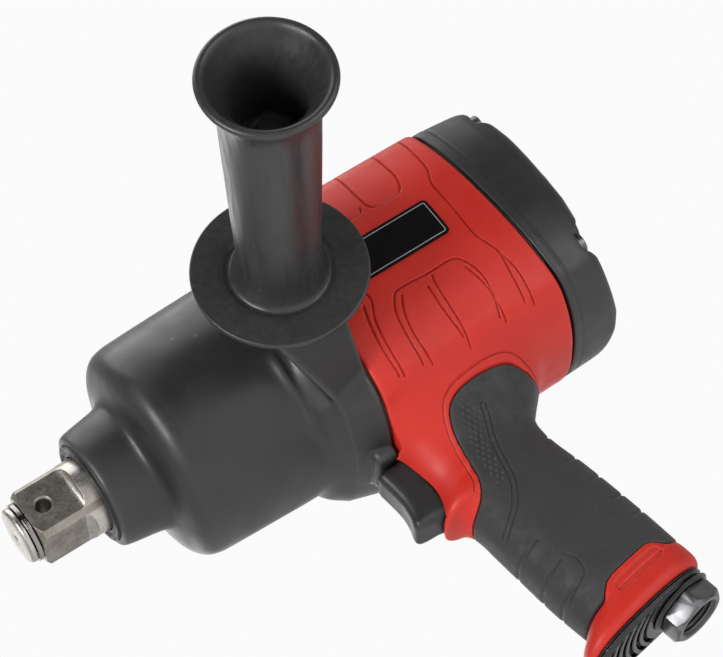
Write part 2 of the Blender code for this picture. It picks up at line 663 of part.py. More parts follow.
def make_inlet(grip):
    at = (INLET_S, 0, 0)
    ring("inlet_collar", 14.6, INLET_HOLE_R, -75.7, -77.3, "black_plastic", "Z", at, 24, grip)
    profile = [
        (-31, 9.3), (-77.6, 9.3), (-77.6, 12.6), (-84.8, 12.6), (-86, 11.2), (-86, 8.4), (-68, 8.4),
        (-68, 5.5), (-31, 5.5),
    ]
    bushing = turned("inlet_bushing", profile, "dark_steel", "Z", at, True, 32, grip)
    hexagon = rod("inlet_hex", INLET_HEX / math.sqrt(3), -60, -90, axis="Z", at=at, steps=6, parent=grip)
    keep = join(rod("inlet_keep", 9.35, -20, -88, axis="Z", at=at, steps=32, parent=grip), hexagon)
    keep_inside(bushing, keep)
    screen = ring("inlet_screen", 8.0, 1.2, -68.4, -69.6, "steel", "Z", at, 24, grip)
    for i in range(4):
        turn = math.pi * i / 2
        hole_at = (INLET_S + 4.8 * math.cos(turn), 4.8 * math.sin(turn), 0)
        cut(screen, rod(f"screen_hole_{i}", 1.5, -60, -75, axis="Z", at=hole_at, steps=6, parent=grip))


# ---------------------------------------------------------------- side handle and label

def make_side_handle():
    at = (HANDLE_X, 0, 0)
    profile = [
        (BELL_TOP_Y, 23.6), (BELL_TOP_Y - 0.5, 25.2), (BELL_TOP_Y - 2.4, 26.2), (BELL_TOP_Y - 4.6, 25.8),
        (200, 23.4), (194, 20.8), (187, 19.5), (176, 19.1), (96, 16.6), (88, 16.3), (84, 17.2),
        (81.4, 19.4),
        (FLANGE_TOP_Y, 22), (FLANGE_TOP_Y, FLANGE_R - 0.8), (FLANGE_TOP_Y - 0.8, FLANGE_R),
        (FLANGE_LOW_Y + 0.8, FLANGE_R), (FLANGE_LOW_Y, FLANGE_R - 0.8), (FLANGE_LOW_Y, 5.6),
        (166, 5.6), (166, 13.2), (178, 14.2), (190, 16.2), (199, 18.9), (204, 20.6), (207.3, 21.6),
    ]
    turned("side_handle", profile, "black_plastic", "Y", at, True, 28)
    rod("handle_stud", STUD_R, 176, 51, "steel", "Y", at)
    nut = ring("handle_nut", 10.4, 5.35, 174, 166.4, "steel", "Y", at)
    keep_inside(nut, rod("nut_hex", 9.8, 180, 160, axis="Y", at=at, steps=6))
    ring("handle_washer", 17, 5.4, 76.8, 74.6, "rubber", "Y", at, 32)


def make_label():
    box("label_plate", (-203.5, 51.05, -8.85), (-163.5, 51.75, 9.65), "label")


make_anvil()
make_tip_rings()
make_case()
make_nose()
make_gaskets()
make_cage()
make_hammers()
make_motor()
make_rotor()
make_rear_cover()
make_dial()
make_bolts()
grip_frame = make_grip_frame()
make_housing(grip_frame)
make_rubber(grip_frame)
make_throttle()
make_spring()
make_base(grip_frame)
make_inlet(grip_frame)
make_side_handle()
make_label()
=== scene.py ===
"""The looks of an air impact wrench with a one inch square drive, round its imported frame.

Lengths are in millimetres in the frame's axes, +X forward along the drive, +Y towards the side
handle and +Z up, and become metres as each mesh is made. A casting or moulding is a field, a
function that is negative inside it, and its mesh is laid over the field's zero surface.
"""

import math

import bmesh
import bpy
import numpy as np
from mathutils import Matrix, Vector


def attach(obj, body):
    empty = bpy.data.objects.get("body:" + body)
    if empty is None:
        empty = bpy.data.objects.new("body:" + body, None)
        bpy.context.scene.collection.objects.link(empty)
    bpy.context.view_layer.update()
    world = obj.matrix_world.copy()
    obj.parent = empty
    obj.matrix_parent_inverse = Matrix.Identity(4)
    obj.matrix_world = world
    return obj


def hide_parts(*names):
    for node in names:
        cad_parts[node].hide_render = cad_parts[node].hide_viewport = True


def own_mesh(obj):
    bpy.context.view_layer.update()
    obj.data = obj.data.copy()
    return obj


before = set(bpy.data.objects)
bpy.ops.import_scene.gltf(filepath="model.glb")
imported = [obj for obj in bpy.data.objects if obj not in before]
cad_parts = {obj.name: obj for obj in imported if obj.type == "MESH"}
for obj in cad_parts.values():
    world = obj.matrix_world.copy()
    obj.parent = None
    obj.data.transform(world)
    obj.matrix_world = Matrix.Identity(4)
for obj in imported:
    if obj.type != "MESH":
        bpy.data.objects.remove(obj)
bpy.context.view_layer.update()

MM = 0.001
GAP = 0.3                       # the parting gap between neighbouring mouldings

# Hammer case
NOSE_X = -34.6
CASE_REAR_X = -140.7
CASE_SMOOTHING = 1.2

# Motor housing and rear cover: rounded squares with a soft ridge along each corner
HOUSING_FRONT_X = -141.9
HOUSING_REAR_X = -224.6
COVER_FRONT_X = -225.7
COVER_REAR_X = -254.0
REAR_LEAN = 0.08
CREASE = 0.812                  # the ridge's place, as a share of the half width and half height
FACE_POWER = 2.4
BOLT_Y = 34.0
BOLT_Z = 35.0
BOLT_HEAD_X = -245.5
BOLT_HOLE_R = 2.75
MOTOR_BORE_R = 44.3
BARREL_HALF = 50.5
BARREL_TOP = 54.1

# Grip: s runs forward across it, t down along it
GRIP_RAKE = math.radians(10)
GRIP_ORIGIN = (-173.0, -100.0)
GRIP_POWER = 2.6                # of the superellipse that a section through the grip follows
INLET_S = -9.5
INLET_HOLE_R = 9.9
SILENCER_S = 11.0
CORE_INSET = 3.0                # the rubber's thickness over the grip's core
CORE_END = 57.5
TRIGGER_Z = -79.0
TRIGGER_HALF = 9.0

# Side handle
HANDLE_X = -128.8
BOSS_TOP_Y = 74.2
THROAT_Y = 166

# ---- fields


def smooth_union(a, b, radius):
    near = np.maximum(radius - np.abs(a - b), 0) / radius
    return np.minimum(a, b) - near * near * radius / 4


def smooth_meet(a, b, radius):
    return -smooth_union(-a, -b, radius)


def smooth_cut(a, b, radius):
    return smooth_meet(a, -b, radius)


def meet_all(radius, first, *others):
    for other in others:
        first = smooth_meet(first, other, radius)
    return first


def step_up(value, low, high):
    """0 below low, 1 above high and a smooth rise between."""
    share = np.clip((value - low) / (high - low), 0, 1)
    return share * share * (3 - 2 * share)


def furrow(distance, half_width):
    """1 on a line and 0 further from it than half_width."""
    return 1 - step_up(np.abs(distance), 0, half_width)


def smooth_line(points, closed=False, per=6):
    """Points on a Catmull-Rom curve through the given ones."""
    given = np.array(points, float)
    if closed:
        padded = np.vstack([given[-1:], given, given[:2]])
    else:
        padded = np.vstack([2 * given[0] - given[1], given, 2 * given[-1] - given[-2]])
    t = np.linspace(0, 1, per, endpoint=False)[:, None]
    runs = []
    for a, b, c, d in zip(padded, padded[1:], padded[2:], padded[3:]):
        runs.append(0.5 * (2 * b + (c - a) * t + (2 * a - 5 * b + 4 * c - d) * t ** 2
                           + (3 * b - a - 3 * c + d) * t ** 3))
    if not closed:
        runs.append(given[-1:])
    return np.vstack(runs)


class Plan:
    """Distance from lines in a plane, worked out once on a grid and negative in a closed outline."""

    def __init__(self, lines, closed=False, reach=9.0, step=0.25):
        every = np.vstack(lines)
        self.low = every.min(0) - reach
        self.step = step
        counts = np.ceil((every.max(0) + reach - self.low) / step).astype(int) + 1
        u = (self.low[0] + step * np.arange(counts[0]))[:, None]
        v = (self.low[1] + step * np.arange(counts[1]))[None, :]
        best = np.full((counts[0], counts[1]), 1e9)
        inside = np.zeros(best.shape, bool)
        for line in lines:
            starts, ends = (line, np.roll(line, -1, 0)) if closed else (line[:-1], line[1:])
            for (u0, v0), (u1, v1) in zip(starts, ends):
                du, dv = u1 - u0, v1 - v0
                along = np.clip(((u - u0) * du + (v - v0) * dv) / (du * du + dv * dv + 1e-12), 0, 1)
                best = np.minimum(best, np.hypot(u - u0 - along * du, v - v0 - along * dv))
                if closed and v0 != v1:
                    inside ^= ((v0 > v) != (v1 > v)) & (u < u0 + (v - v0) * du / dv)
        self.values = np.where(inside, -best, best)

    def __call__(self, u, v):
        u, v = np.broadcast_arrays(u, v)
        i = np.clip((u - self.low[0]) / self.step, 0, self.values.shape[0] - 1.001)
        j = np.clip((v - self.low[1]) / self.step, 0, self.values.shape[1] - 1.001)
        i0, j0 = i.astype(int), j.astype(int)
        a, b = i - i0, j - j0
        at = self.values
        return ((at[i0, j0] * (1 - a) + at[i0 + 1, j0] * a) * (1 - b)
                + (at[i0, j0 + 1] * (1 - a) + at[i0 + 1, j0 + 1] * a) * b)


BLOCK = 12
BLOCK_REACH = 1.5


def sampled(field, low, counts, step):
    """The field on a grid, worked out only in blocks near its surface and a plain sign elsewhere."""
    blocks = -(-counts // BLOCK)
    size = BLOCK * step
    mid = [low[a] + size * (np.arange(blocks[a]) + 0.5) for a in range(3)]
    at_mid = field(mid[0][:, None, None], mid[1][None, :, None], mid[2][None, None, :])
    at_mid = np.broadcast_to(at_mid, tuple(blocks))
    values = np.where(at_mid < 0, -1.0, 1.0).astype(np.float32)
    for axis in range(3):
        values = np.repeat(values, BLOCK, axis)
    near = np.abs(at_mid) < size * math.sqrt(3) / 2 * BLOCK_REACH
    for i, j, k in np.argwhere(near):
        part = [low[a] + step * (n * BLOCK + np.arange(BLOCK)) for a, n in enumerate((i, j, k))]
        found = field(part[0][:, None, None], part[1][None, :, None], part[2][None, None, :])
        values[i * BLOCK:(i + 1) * BLOCK, j * BLOCK:(j + 1) * BLOCK, k * BLOCK:(k + 1) * BLOCK] = found
    return values


def grid_skin(values):
    """Points, in grid steps, and quads of the surface where the values change sign."""
    inside = values < 0
    shape = [n - 1 for n in values.shape]
    count = sum(inside[a:a + shape[0], b:b + shape[1], c:c + shape[2]].astype(np.int8)
                for a in (0, 1) for b in (0, 1) for c in (0, 1))
    cells = np.argwhere((count > 0) & (count < 8))
    total, hits = np.zeros((len(cells), 3)), np.zeros((len(cells), 1))
    for axis in range(3):
        along = np.eye(3, dtype=int)[axis]
        for corner in np.ndindex(2, 2, 2):
            if corner[axis]:
                continue
            first, last = cells + corner, cells + corner + along
            at_first, at_last = values[tuple(first.T)], values[tuple(last.T)]
            crosses = ((at_first < 0) != (at_last < 0))[:, None]
            share = (at_first / np.where(at_first == at_last, 1, at_first - at_last))[:, None]
            total += np.where(crosses, corner + share * along, 0)
            hits += crosses
    number = np.full(shape, -1)
    number[tuple(cells.T)] = np.arange(len(cells))
    quads = []
    for axis in range(3):
        along, b, c = (np.eye(3, dtype=int)[(axis + k) % 3] for k in range(3))
        low_side = [slice(0, n) for n in shape]
        high_side = [slice(a, a + n) for a, n in zip(along, shape)]
        edges = np.argwhere(inside[tuple(low_side)] != inside[tuple(high_side)])
        edges = edges[((edges > 0) | (along == 1)).all(1)]
        ring = [number[tuple((edges - shift).T)] for shift in (b + c, c, 0 * c, b)]
        quad = np.stack(ring, 1)
        leaving = inside[tuple(edges.T)]
        quads.append(np.where(leaving[:, None], quad, quad[:, ::-1]))
    return cells + total / hits, np.vstack(quads)


def settled(points, field, step, reach=0.02):
    """The points moved onto the field's zero surface."""
    for _ in range(4):
        x, y, z = points.T
        value = field(x, y, z)
        gradient = np.stack([
            field(x + reach, y, z) - field(x - reach, y, z),
            field(x, y + reach, z) - field(x, y - reach, z),
            field(x, y, z + reach) - field(x, y, z - reach),
        ], 1) / (2 * reach)
        steep = np.maximum((gradient ** 2).sum(1), 0.2)
        move = (value / steep)[:, None] * gradient
        length = np.linalg.norm(move, axis=1, keepdims=True)
        points = points - move * np.minimum(1, 0.6 * step / np.maximum(length, 1e-9))
    return points


def skin(name, field, low, high, step, fine=None):
    """A mesh over the field's zero surface. fine gives the distance from features that need small faces."""
    low = np.array(low, float)
    step = step * 1
    counts = np.ceil((np.array(high, float) - low) / step).astype(int) + 1
    points, quads = grid_skin(sampled(field, low, counts, step))
    obj = mesh_object(name, settled(low + step * points, field, step), quads)
    for reach in (2.0, 1.3) if fine else ():
        step /= 2
        bm = bmesh.new()
        bm.from_mesh(obj.data)
        near = fine(*(np.array([vert.co for vert in bm.verts]) / MM).T) < reach
        bm.verts.index_update()
        edges = [edge for edge in bm.edges if near[edge.verts[0].index] and near[edge.verts[1].index]]
        bmesh.ops.subdivide_edges(bm, edges=edges, cuts=1, use_grid_fill=True)
        places = settled(np.array([vert.co for vert in bm.verts]) / MM, field, step)
        for vert, place in zip(bm.verts, places * MM):
            vert.co = place
        bm.to_mesh(obj.data)
        bm.free()
    obj.data.shade_smooth()
    return obj


def shaded(obj, sharp):
    """Smooth shading that breaks at edges of more than sharp degrees."""
    obj.data.shade_smooth()
    obj.data.set_sharp_from_angle(angle=math.radians(sharp))
    return obj


def scene_object(name, data):
    obj = bpy.data.objects.new(name, data)
    bpy.context.scene.collection.objects.link(obj)
    return obj


def mesh_object(name, points, faces):
    mesh = bpy.data.meshes.new(name)
    faces = faces.tolist() if isinstance(faces, np.ndarray) else faces
    mesh.from_pydata((np.asarray(points, float) * MM).tolist(), [], faces)
    mesh.validate()
    mesh.shade_smooth()
    return scene_object(name, mesh)

# ---- turned pieces and cuts

def along_x(y=0, z=0):
    """Turned about a line along X: the profile's first number is x."""
    return lambda a, across, up: (a, y + across, z + up)


def along_y(x=0, z=0):
    return lambda a, across, up: (x + up, a, z + across)


def along_grip(s, y=0):
    """Turned about a line down the grip: the profile's first number is t."""
    return lambda a, across, up: from_grip(s + up, y + across, a)


def filleted(profile, radius, steps=4, closed=True):
    """The profile with each corner rounded."""
    points = [np.array(point, float) for point in profile]
    made = []
    for i, point in enumerate(points):
        if not closed and i in (0, len(points) - 1):
            made.append(point)
            continue
        before, after = points[i - 1], points[(i + 1) % len(points)]
        back, on = before - point, after - point
        reach = min(radius, 0.45 * np.linalg.norm(back), 0.45 * np.linalg.norm(on))
        start = point + back / np.linalg.norm(back) * reach
        end = point + on / np.linalg.norm(on) * reach
        for t in np.linspace(0, 1, steps + 1):
            made.append((1 - t) ** 2 * start + 2 * t * (1 - t) * point + t * t * end)
    return np.array(made)


def ring_faces(rings, steps, first=0, closed=False):
    """Quads between rings of that many points each. first is the number of the first point."""
    return [(first + ring * steps + i, first + ring * steps + (i + 1) % steps,
             first + (ring + 1) % rings * steps + (i + 1) % steps, first + (ring + 1) % rings * steps + i)
            for ring in range(rings if closed else rings - 1) for i in range(steps)]


def turned(name, profile, place, closed=True, steps=96):
    """A turned piece. A closed profile is a ring's section, an open one starts and ends on the axis."""
    profile = np.asarray(profile, float)
    count = len(profile)
    along, radius = np.repeat(profile, steps, 0).T
    turn = np.tile(2 * math.pi * np.arange(steps) / steps, count)
    points = np.stack(np.broadcast_arrays(*place(along, radius * np.cos(turn), radius * np.sin(turn))), 1)
    return tidy_faces(mesh_object(name, points, ring_faces(count, steps, closed=closed)))


def tidy_faces(obj, sharp=35):
    """Welds doubled points, closes ends and turns every face outwards."""
    bm = bmesh.new()
    bm.from_mesh(obj.data)
    bmesh.ops.remove_doubles(bm, verts=bm.verts, dist=1e-6)
    bmesh.ops.dissolve_degenerate(bm, edges=bm.edges, dist=1e-7)
    bmesh.ops.holes_fill(bm, edges=bm.edges)
    bmesh.ops.recalc_face_normals(bm, faces=bm.faces)
    bm.to_mesh(obj.data)
    bm.free()
    return shaded(obj, sharp)


def prism(name, outline, place, low, high):
    """A flat outline of (u, v) points, drawn out from low to high. place gives x, y, z."""
    points = [place(u, v, w) for w in (low, high) for u, v in np.asarray(outline, float)]
    return tidy_faces(mesh_object(name, points, ring_faces(2, len(outline))))


def box(name, low, high):
    outline = [(low[0], low[2]), (high[0], low[2]), (high[0], high[2]), (low[0], high[2])]
    return prism(name, outline, lambda u, v, w: (u, w, v), low[1], high[1])


def rod(name, radius, low, high, place, steps=48):
    return turned(name, [(low, 0), (low, radius), (high, radius), (high, 0)], place, False, steps)


def apply_modifiers(obj):
    graph = bpy.context.evaluated_depsgraph_get()
    made = bpy.data.meshes.new_from_object(obj.evaluated_get(graph))
    obj.modifiers.clear()
    obj.data = made


def combine(obj, operation, others, sharp=50):
    """A Boolean with each of the others, which are then removed."""
    for other in others:
        modifier = obj.modifiers.new("Boolean", "BOOLEAN")
        modifier.operation = operation
        modifier.object = other
        modifier.solver = "MANIFOLD"
    apply_modifiers(obj)
    for other in others:
        bpy.data.objects.remove(other)
    return shaded(obj, sharp)


def cut(obj, *others, sharp=50):
    return combine(obj, "DIFFERENCE", others, sharp)


def bevelled(obj, width, segments=3, angle=30):
    modifier = obj.modifiers.new("Bevel", "BEVEL")
    modifier.width = width * MM
    modifier.segments = segments
    modifier.limit_method = "ANGLE"
    modifier.angle_limit = math.radians(angle)
    apply_modifiers(obj)
    return shaded(obj, 50)


def hexagon(radius):
    return [(radius * math.cos(turn), radius * math.sin(turn)) for turn in math.pi / 3 * np.arange(6)]

# ---- finishes

class Finish:
    """A Principled material that is built up from procedural textures in the object's own metres."""

    def __init__(self, name, colour, roughness, metallic=0.0, **sockets):
        self.material = bpy.data.materials.new(name)
        self.material.use_nodes = True
        self.tree = self.material.node_tree
        self.shader = self.tree.nodes["Principled BSDF"]
        self.colour = (*colour, 1.0)
        self.set("Base Color", self.colour)
        self.set("Roughness", roughness)
        self.set("Metallic", metallic)
        for socket, value in sockets.items():
            self.set(socket.replace("_", " "), value)

    def set(self, socket, value):
        self.shader.inputs[socket].default_value = value

    def node(self, kind, **inputs):
        made = self.tree.nodes.new(kind)
        for socket, value in inputs.items():
            target = made.inputs[socket.replace("_", " ")]
            if isinstance(value, bpy.types.NodeSocket):
                self.tree.links.new(value, target)
            else:
                target.default_value = value
        return made

    def place(self, stretch=(1, 1, 1)):
        made = self.node("ShaderNodeMapping", Scale=stretch)
        source = self.node("ShaderNodeTexCoord")
        self.tree.links.new(source.outputs["Object"], made.inputs["Vector"])
        return made.outputs["Vector"]

    def noise(self, size, detail=3.0, stretch=(1, 1, 1), rough=0.5):
        """Noise whose features are about size millimetres."""
        made = self.node("ShaderNodeTexNoise", Vector=self.place(stretch), Scale=1 / (size * MM),
                         Detail=detail, Roughness=rough)
        return made.outputs["Fac"]

    def cells(self, size):
        made = self.node("ShaderNodeTexVoronoi", Vector=self.place(), Scale=1 / (size * MM))
        return made.outputs["Distance"]

    def spread(self, value, low, high, start=0.35, end=0.65):
        made = self.node("ShaderNodeMapRange")
        self.tree.links.new(value, made.inputs["Value"])
        for socket, number in (("From Min", start), ("From Max", end), ("To Min", low), ("To Max", high)):
            made.inputs[socket].default_value = number
        return made.outputs["Result"]

    def ridges(self, low=0.5, high=0.56):
        """1 on the outward edges and 0 elsewhere."""
        made = self.node("ShaderNodeNewGeometry")
        return self.spread(made.outputs["Pointiness"], 0.0, 1.0, low, high)

    def tint(self, factor, colour):
        """Mixes another colour in where the factor is 1."""
        socket = self.shader.inputs["Base Color"]
        mix = self.tree.nodes.new("ShaderNodeMix")
        mix.data_type = "RGBA"
        self.tree.links.new(factor, mix.inputs[0])
        if socket.is_linked:
            self.tree.links.new(socket.links[0].from_socket, mix.inputs[6])
        else:
            mix.inputs[6].default_value = self.colour
        mix.inputs[7].default_value = (*colour, 1.0)
        self.tree.links.new(mix.outputs[2], socket)

    def patches(self, grain, share, colour, start=0.35, end=0.65):
        """Up to that share of another colour in soft patches."""
        self.tint(self.spread(self.noise(*grain), 0, share, start, end), colour)

    def edges(self, share, colour, low=0.5, high=0.56):
        """Another colour on the outward edges, a painted highlight, or in the hollows where low is above high,
        painted shade.
        """
        self.tint(self.spread(self.ridges(low, high), 0, share, 0, 1), colour)

    def roughen(self, grain, low, high):
        self.tree.links.new(self.spread(self.noise(*grain), low, high), self.shader.inputs["Roughness"])

    def bump(self, grain, depth, strength=1.0):
        """Relief of about depth millimetres, over any relief already there."""
        self.relief(self.noise(*grain), depth, strength)

    def relief(self, height, depth, strength):
        made = self.node("ShaderNodeBump", Height=height, Distance=depth * MM, Strength=strength)
        normal = self.shader.inputs["Normal"]
        if normal.is_linked:
            self.tree.links.new(normal.links[0].from_socket, made.inputs["Normal"])
        self.tree.links.new(made.outputs["Normal"], normal)


def moulded(name, colour, roughness, grain, depth, edge_highlight, **sockets):
    """A moulding: fine texture, faint tone changes, a painted highlight on the outward edges and painted shade in
    the hollows.
    """
    finish = Finish(name, colour, roughness, **sockets)
    finish.patches((22, 2), 0.5, [c * 0.86 for c in colour])
    # a painted highlight on the outward edges
    finish.edges(0.35, edge_highlight)
    # darker in the hollows and grooves: painted shade
    finish.edges(0.75, [c * 0.3 for c in colour], 0.49, 0.43)
    finish.roughen((9, 4), roughness - 0.05, roughness + 0.06)
    finish.bump((grain, 2), depth, 0.6)
    return finish.material


def ground_steel(name, colour, roughness, stretch, tarnish=None, scratch=0.02):
    """Bare steel. tarnish is a darker tone that lies over it in patches."""
    finish = Finish(name, colour, roughness, 1.0)
    if tarnish:
        finish.patches((7, 5, (1, 1, 1), 0.65), 0.85, tarnish, 0.4, 0.62)
        finish.patches((2.2, 4), 0.4, [c * 0.45 for c in tarnish], 0.55, 0.75)
        # brighter than bare steel on the outward edges: a painted highlight
        finish.edges(0.8, [min(1, c * 1.5) for c in colour], 0.5, 0.54)
    finish.roughen((0.5, 3, stretch), roughness - 0.07, roughness + 0.1)
    finish.bump((0.35, 3, stretch), scratch, 0.5)
    return finish.material


def make_finishes():
    made = {}

    def start(name, *base, **sockets):
        finish = Finish(name, *base, **sockets)
        made[name] = finish.material
        return finish

    paint = start("case_paint", (0.0145, 0.0146, 0.015), 0.4)
    paint.patches((35, 2), 0.6, (0.021, 0.021, 0.022))
    # lighter on the outward edges and ridges: a painted highlight
    paint.edges(0.7, (0.075, 0.075, 0.077), 0.5, 0.55)
    paint.patches((0.9, 2), 0.5, (0.07, 0.07, 0.07), 0.68, 0.78)
    paint.roughen((14, 4), 0.34, 0.47)
    paint.bump((1.6, 3), 0.05, 0.35)
    paint.relief(paint.cells(0.45), 0.012, 0.5)
    for name, look, sockets in (
            ("red_plastic", ((0.54, 0.022, 0.013), 0.46, 0.5, 0.012, (0.62, 0.06, 0.04)),
             {"Specular_IOR_Level": 0.32}),
            ("black_plastic", ((0.02, 0.02, 0.021), 0.42, 0.45, 0.02, (0.05, 0.05, 0.05)), {}),
            ("gloss_black", ((0.009, 0.009, 0.01), 0.2, 1.2, 0.02, (0.03, 0.03, 0.03)), {})):
        made[name] = moulded(name, *look, **sockets)
    handle = start("handle_plastic", (0.023, 0.023, 0.024), 0.36)
    handle.patches((3, 3, (1, 0.12, 1)), 0.35, (0.035, 0.035, 0.036))
    handle.roughen((2.2, 3, (1, 0.1, 1)), 0.3, 0.44)
    handle.bump((0.6, 2), 0.012, 0.5)
    rubber = start("grip_rubber", (0.024, 0.024, 0.025), 0.7, Sheen_Weight=0.12, Sheen_Roughness=0.5)
    rubber.patches((16, 3), 0.5, (0.018, 0.018, 0.019))
    rubber.patches((1.1, 2), 0.4, (0.06, 0.06, 0.06), 0.62, 0.72)
    # lighter on the outward edges: a painted highlight
    rubber.edges(0.4, (0.06, 0.06, 0.06), 0.5, 0.58)
    rubber.roughen((5, 4), 0.62, 0.8)
    rubber.bump((0.35, 3), 0.03, 0.7)
    seal = start("seal_rubber", (0.012, 0.012, 0.012), 0.45)
    seal.roughen((1.5, 3), 0.35, 0.6)
    seal.bump((0.5, 2), 0.015, 0.5)
    even, lengthwise = (1, 1, 1), (0.3, 1, 1)
    for name, *look in (
            ("drive_steel", (0.45, 0.43, 0.4), 0.34, (0.25, 1, 1), (0.3, 0.265, 0.22), 0.008),
            ("worn_steel", (0.29, 0.27, 0.24), 0.42, even, (0.15, 0.13, 0.105), 0.012),
            ("machined_steel", (0.55, 0.55, 0.56), 0.3, lengthwise),
            ("dark_steel", (0.12, 0.12, 0.125), 0.38, even, (0.06, 0.06, 0.065)),
            ("ring_steel", (0.3, 0.29, 0.28), 0.28, even),
            ("bronze", (0.55, 0.36, 0.16), 0.4, even, (0.35, 0.2, 0.08)),
            ("alloy", (0.6, 0.6, 0.62), 0.38, even, (0.45, 0.45, 0.46))):
        made[name] = ground_steel(name, *look)
    inlet = start("inlet_steel", (0.055, 0.055, 0.057), 0.34, 1.0)
    inlet.patches((7, 3), 0.7, (0.042, 0.042, 0.044))
    # much lighter on the outward edges: a painted highlight
    inlet.edges(0.7, (0.25, 0.25, 0.26), 0.5, 0.54)
    inlet.roughen((5, 3), 0.3, 0.42)
    # near black: painted shade for the handle's stud and nut, which sit deep in the handle's dark hollow
    shadow_black = start("shadow_black_steel", (0.006, 0.006, 0.007), 0.5)
    shadow_black.roughen((2, 3), 0.45, 0.6)
    shadow_black.bump((0.8, 2), 0.01, 0.4)
    for name, colour in (("fibre", (0.2, 0.17, 0.13)), ("gasket_fibre", (0.03, 0.027, 0.024))):
        fibre = start(name, colour, 0.8)
        fibre.patches((0.8, 4), 1, [c * 0.6 for c in colour])
        fibre.bump((0.4, 3), 0.05)
    label = start("label", (0.003, 0.003, 0.004), 0.22, Specular_IOR_Level=0.35)
    label.roughen((6, 3), 0.18, 0.27)
    label.bump((3, 2), 0.01, 0.3)
    start("label_print", (0.32, 0.33, 0.34), 0.3).patches((1.5, 2), 0.4, (0.25, 0.26, 0.27))
    return made


FINISH = make_finishes()


def piece(obj, finish, slot, *nodes, body="tool_body"):
    """Gives an object its finish and its body and hides the CAD nodes it stands for; slot is not used."""
    obj.data.materials.clear()
    obj.data.materials.append(FINISH[finish])
    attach(obj, body)
    if nodes:
        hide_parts(*nodes)
    return obj

# ---- shared shapes

def to_grip(x, z):
    dx, dz = x - GRIP_ORIGIN[0], z - GRIP_ORIGIN[1]
    c, s = math.cos(GRIP_RAKE), math.sin(GRIP_RAKE)
    return dx * c - dz * s, -dx * s - dz * c


def from_grip(s, y, t):
    c, k = math.cos(GRIP_RAKE), math.sin(GRIP_RAKE)
    return GRIP_ORIGIN[0] + s * c - t * k, y, GRIP_ORIGIN[1] - s * k - t * c


def rounded_square(y, z, half, top, bottom, ridge):
    """Distance across a section whose four faces swell outwards and meet in soft ridges."""
    tall = np.where(z > 0, top, bottom)
    u, v = np.abs(y) / half, np.abs(z) / tall
    side = half * (u + (1 - CREASE) * (v / CREASE) ** FACE_POWER - 1)
    end = tall * (v + (1 - CREASE) * (u / CREASE) ** FACE_POWER - 1)
    return smooth_meet(side, end, ridge) * 0.87     # the swelling makes both read too long


def oval(u, v, half_u, half_v, power=GRIP_POWER):
    """Distance outside a superellipse, along the line from its centre."""
    size = ((np.abs(u) / half_u) ** power + (np.abs(v) / half_v) ** power) ** (1 / power)
    return np.hypot(u, v) * (1 - 1 / np.maximum(size, 1e-6))


GRIP_SECTIONS = [               # t, rear, front, half width
    (-53, -47, 26, 33), (-44, -46.5, 26.2, 30.5), (-36, -44, 26.5, 25.5), (-29, -40, 26.7, 22),
    (-23.5, -33, 27.1, 20.3), (-19, -27.4, 28.4, 19.6), (-15.8, -25.6, 30.2, 19.2),
    (-13, -25, 32.5, 19), (-11.2, -24.8, 33.7, 18.9), (-9.7, -24.6, 32.8, 18.8),
    (-6.4, -24.4, 26.8, 18.8), (1.5, -24.6, 24.7, 18.8), (20, -25.2, 25.2, 19.3),
    (42, -25.5, 26.1, 19.5), (60.5, -25.2, 25.7, 19.3), (75, -25.2, 25.7, 19.3),
]
GRIP_TABLE = smooth_line(GRIP_SECTIONS, per=8)
RUBBER_EDGE = [                 # the rubber's upper border in (x, z), front to back
    (-125, -107), (-146, -102.2), (-152.3, -99.7), (-156, -96), (-158.4, -90), (-159.4, -80),
    (-161, -70), (-164.2, -63.2), (-170, -59.6), (-178, -58.1), (-188, -57.7), (-196.3, -58.6),
    (-201, -62.4), (-206, -66.6), (-225, -68),
]
RUBBER_END = 59.4
TAB_OUTLINE = [                 # the base cap's side tab, in (s, t)
    (-19, 61.2), (18.5, 61.2), (14.8, 57.8), (11.5, 55.6), (8, 54.9), (-10.8, 54.9), (-13.2, 56), (-17, 59.6),
]


def grip_skin(s, y, t, straight_front=False):
    """Distance outside the grip's surface."""
    rear, front, half = (np.interp(t, GRIP_TABLE[:, 0], GRIP_TABLE[:, k]) for k in (1, 2, 3))
    if straight_front:
        front = np.minimum(front, 26.6)
    return oval(s - (front + rear) / 2, y, (front - rear) / 2, half)


def rubber_plan():
    edge = smooth_line(RUBBER_EDGE, per=5)
    rear, front = from_grip(-60, 0, 80), from_grip(60, 0, 80)
    outline = np.vstack([edge, [(-250, -80), (rear[0], rear[2]), (front[0], front[2]), (-100, -110)]])
    return Plan([outline], closed=True)


RUBBER = rubber_plan()
TAB = Plan([np.array(TAB_OUTLINE, float)], closed=True)

# ---- hammer case

CASE_PROFILE = [                # x, radius of the round front
    (-34.6, 23.4), (-35.4, 24.6), (-37.4, 25.4), (-42, 26.2), (-48, 27.1), (-52.2, 27.9), (-54.6, 29.2),
    (-56.1, 32), (-57.3, 36.2), (-58.7, 40.4), (-60.6, 43.5), (-63.4, 45.8), (-67.2, 46.95), (-72, 47.4),
    (-90, 48.0), (-112, 48.6), (-145, 48.8),
]
CASE_TABLE = smooth_line(CASE_PROFILE, per=8)[::-1]
CASE_SLOPE = np.gradient(CASE_TABLE[:, 1], CASE_TABLE[:, 0])


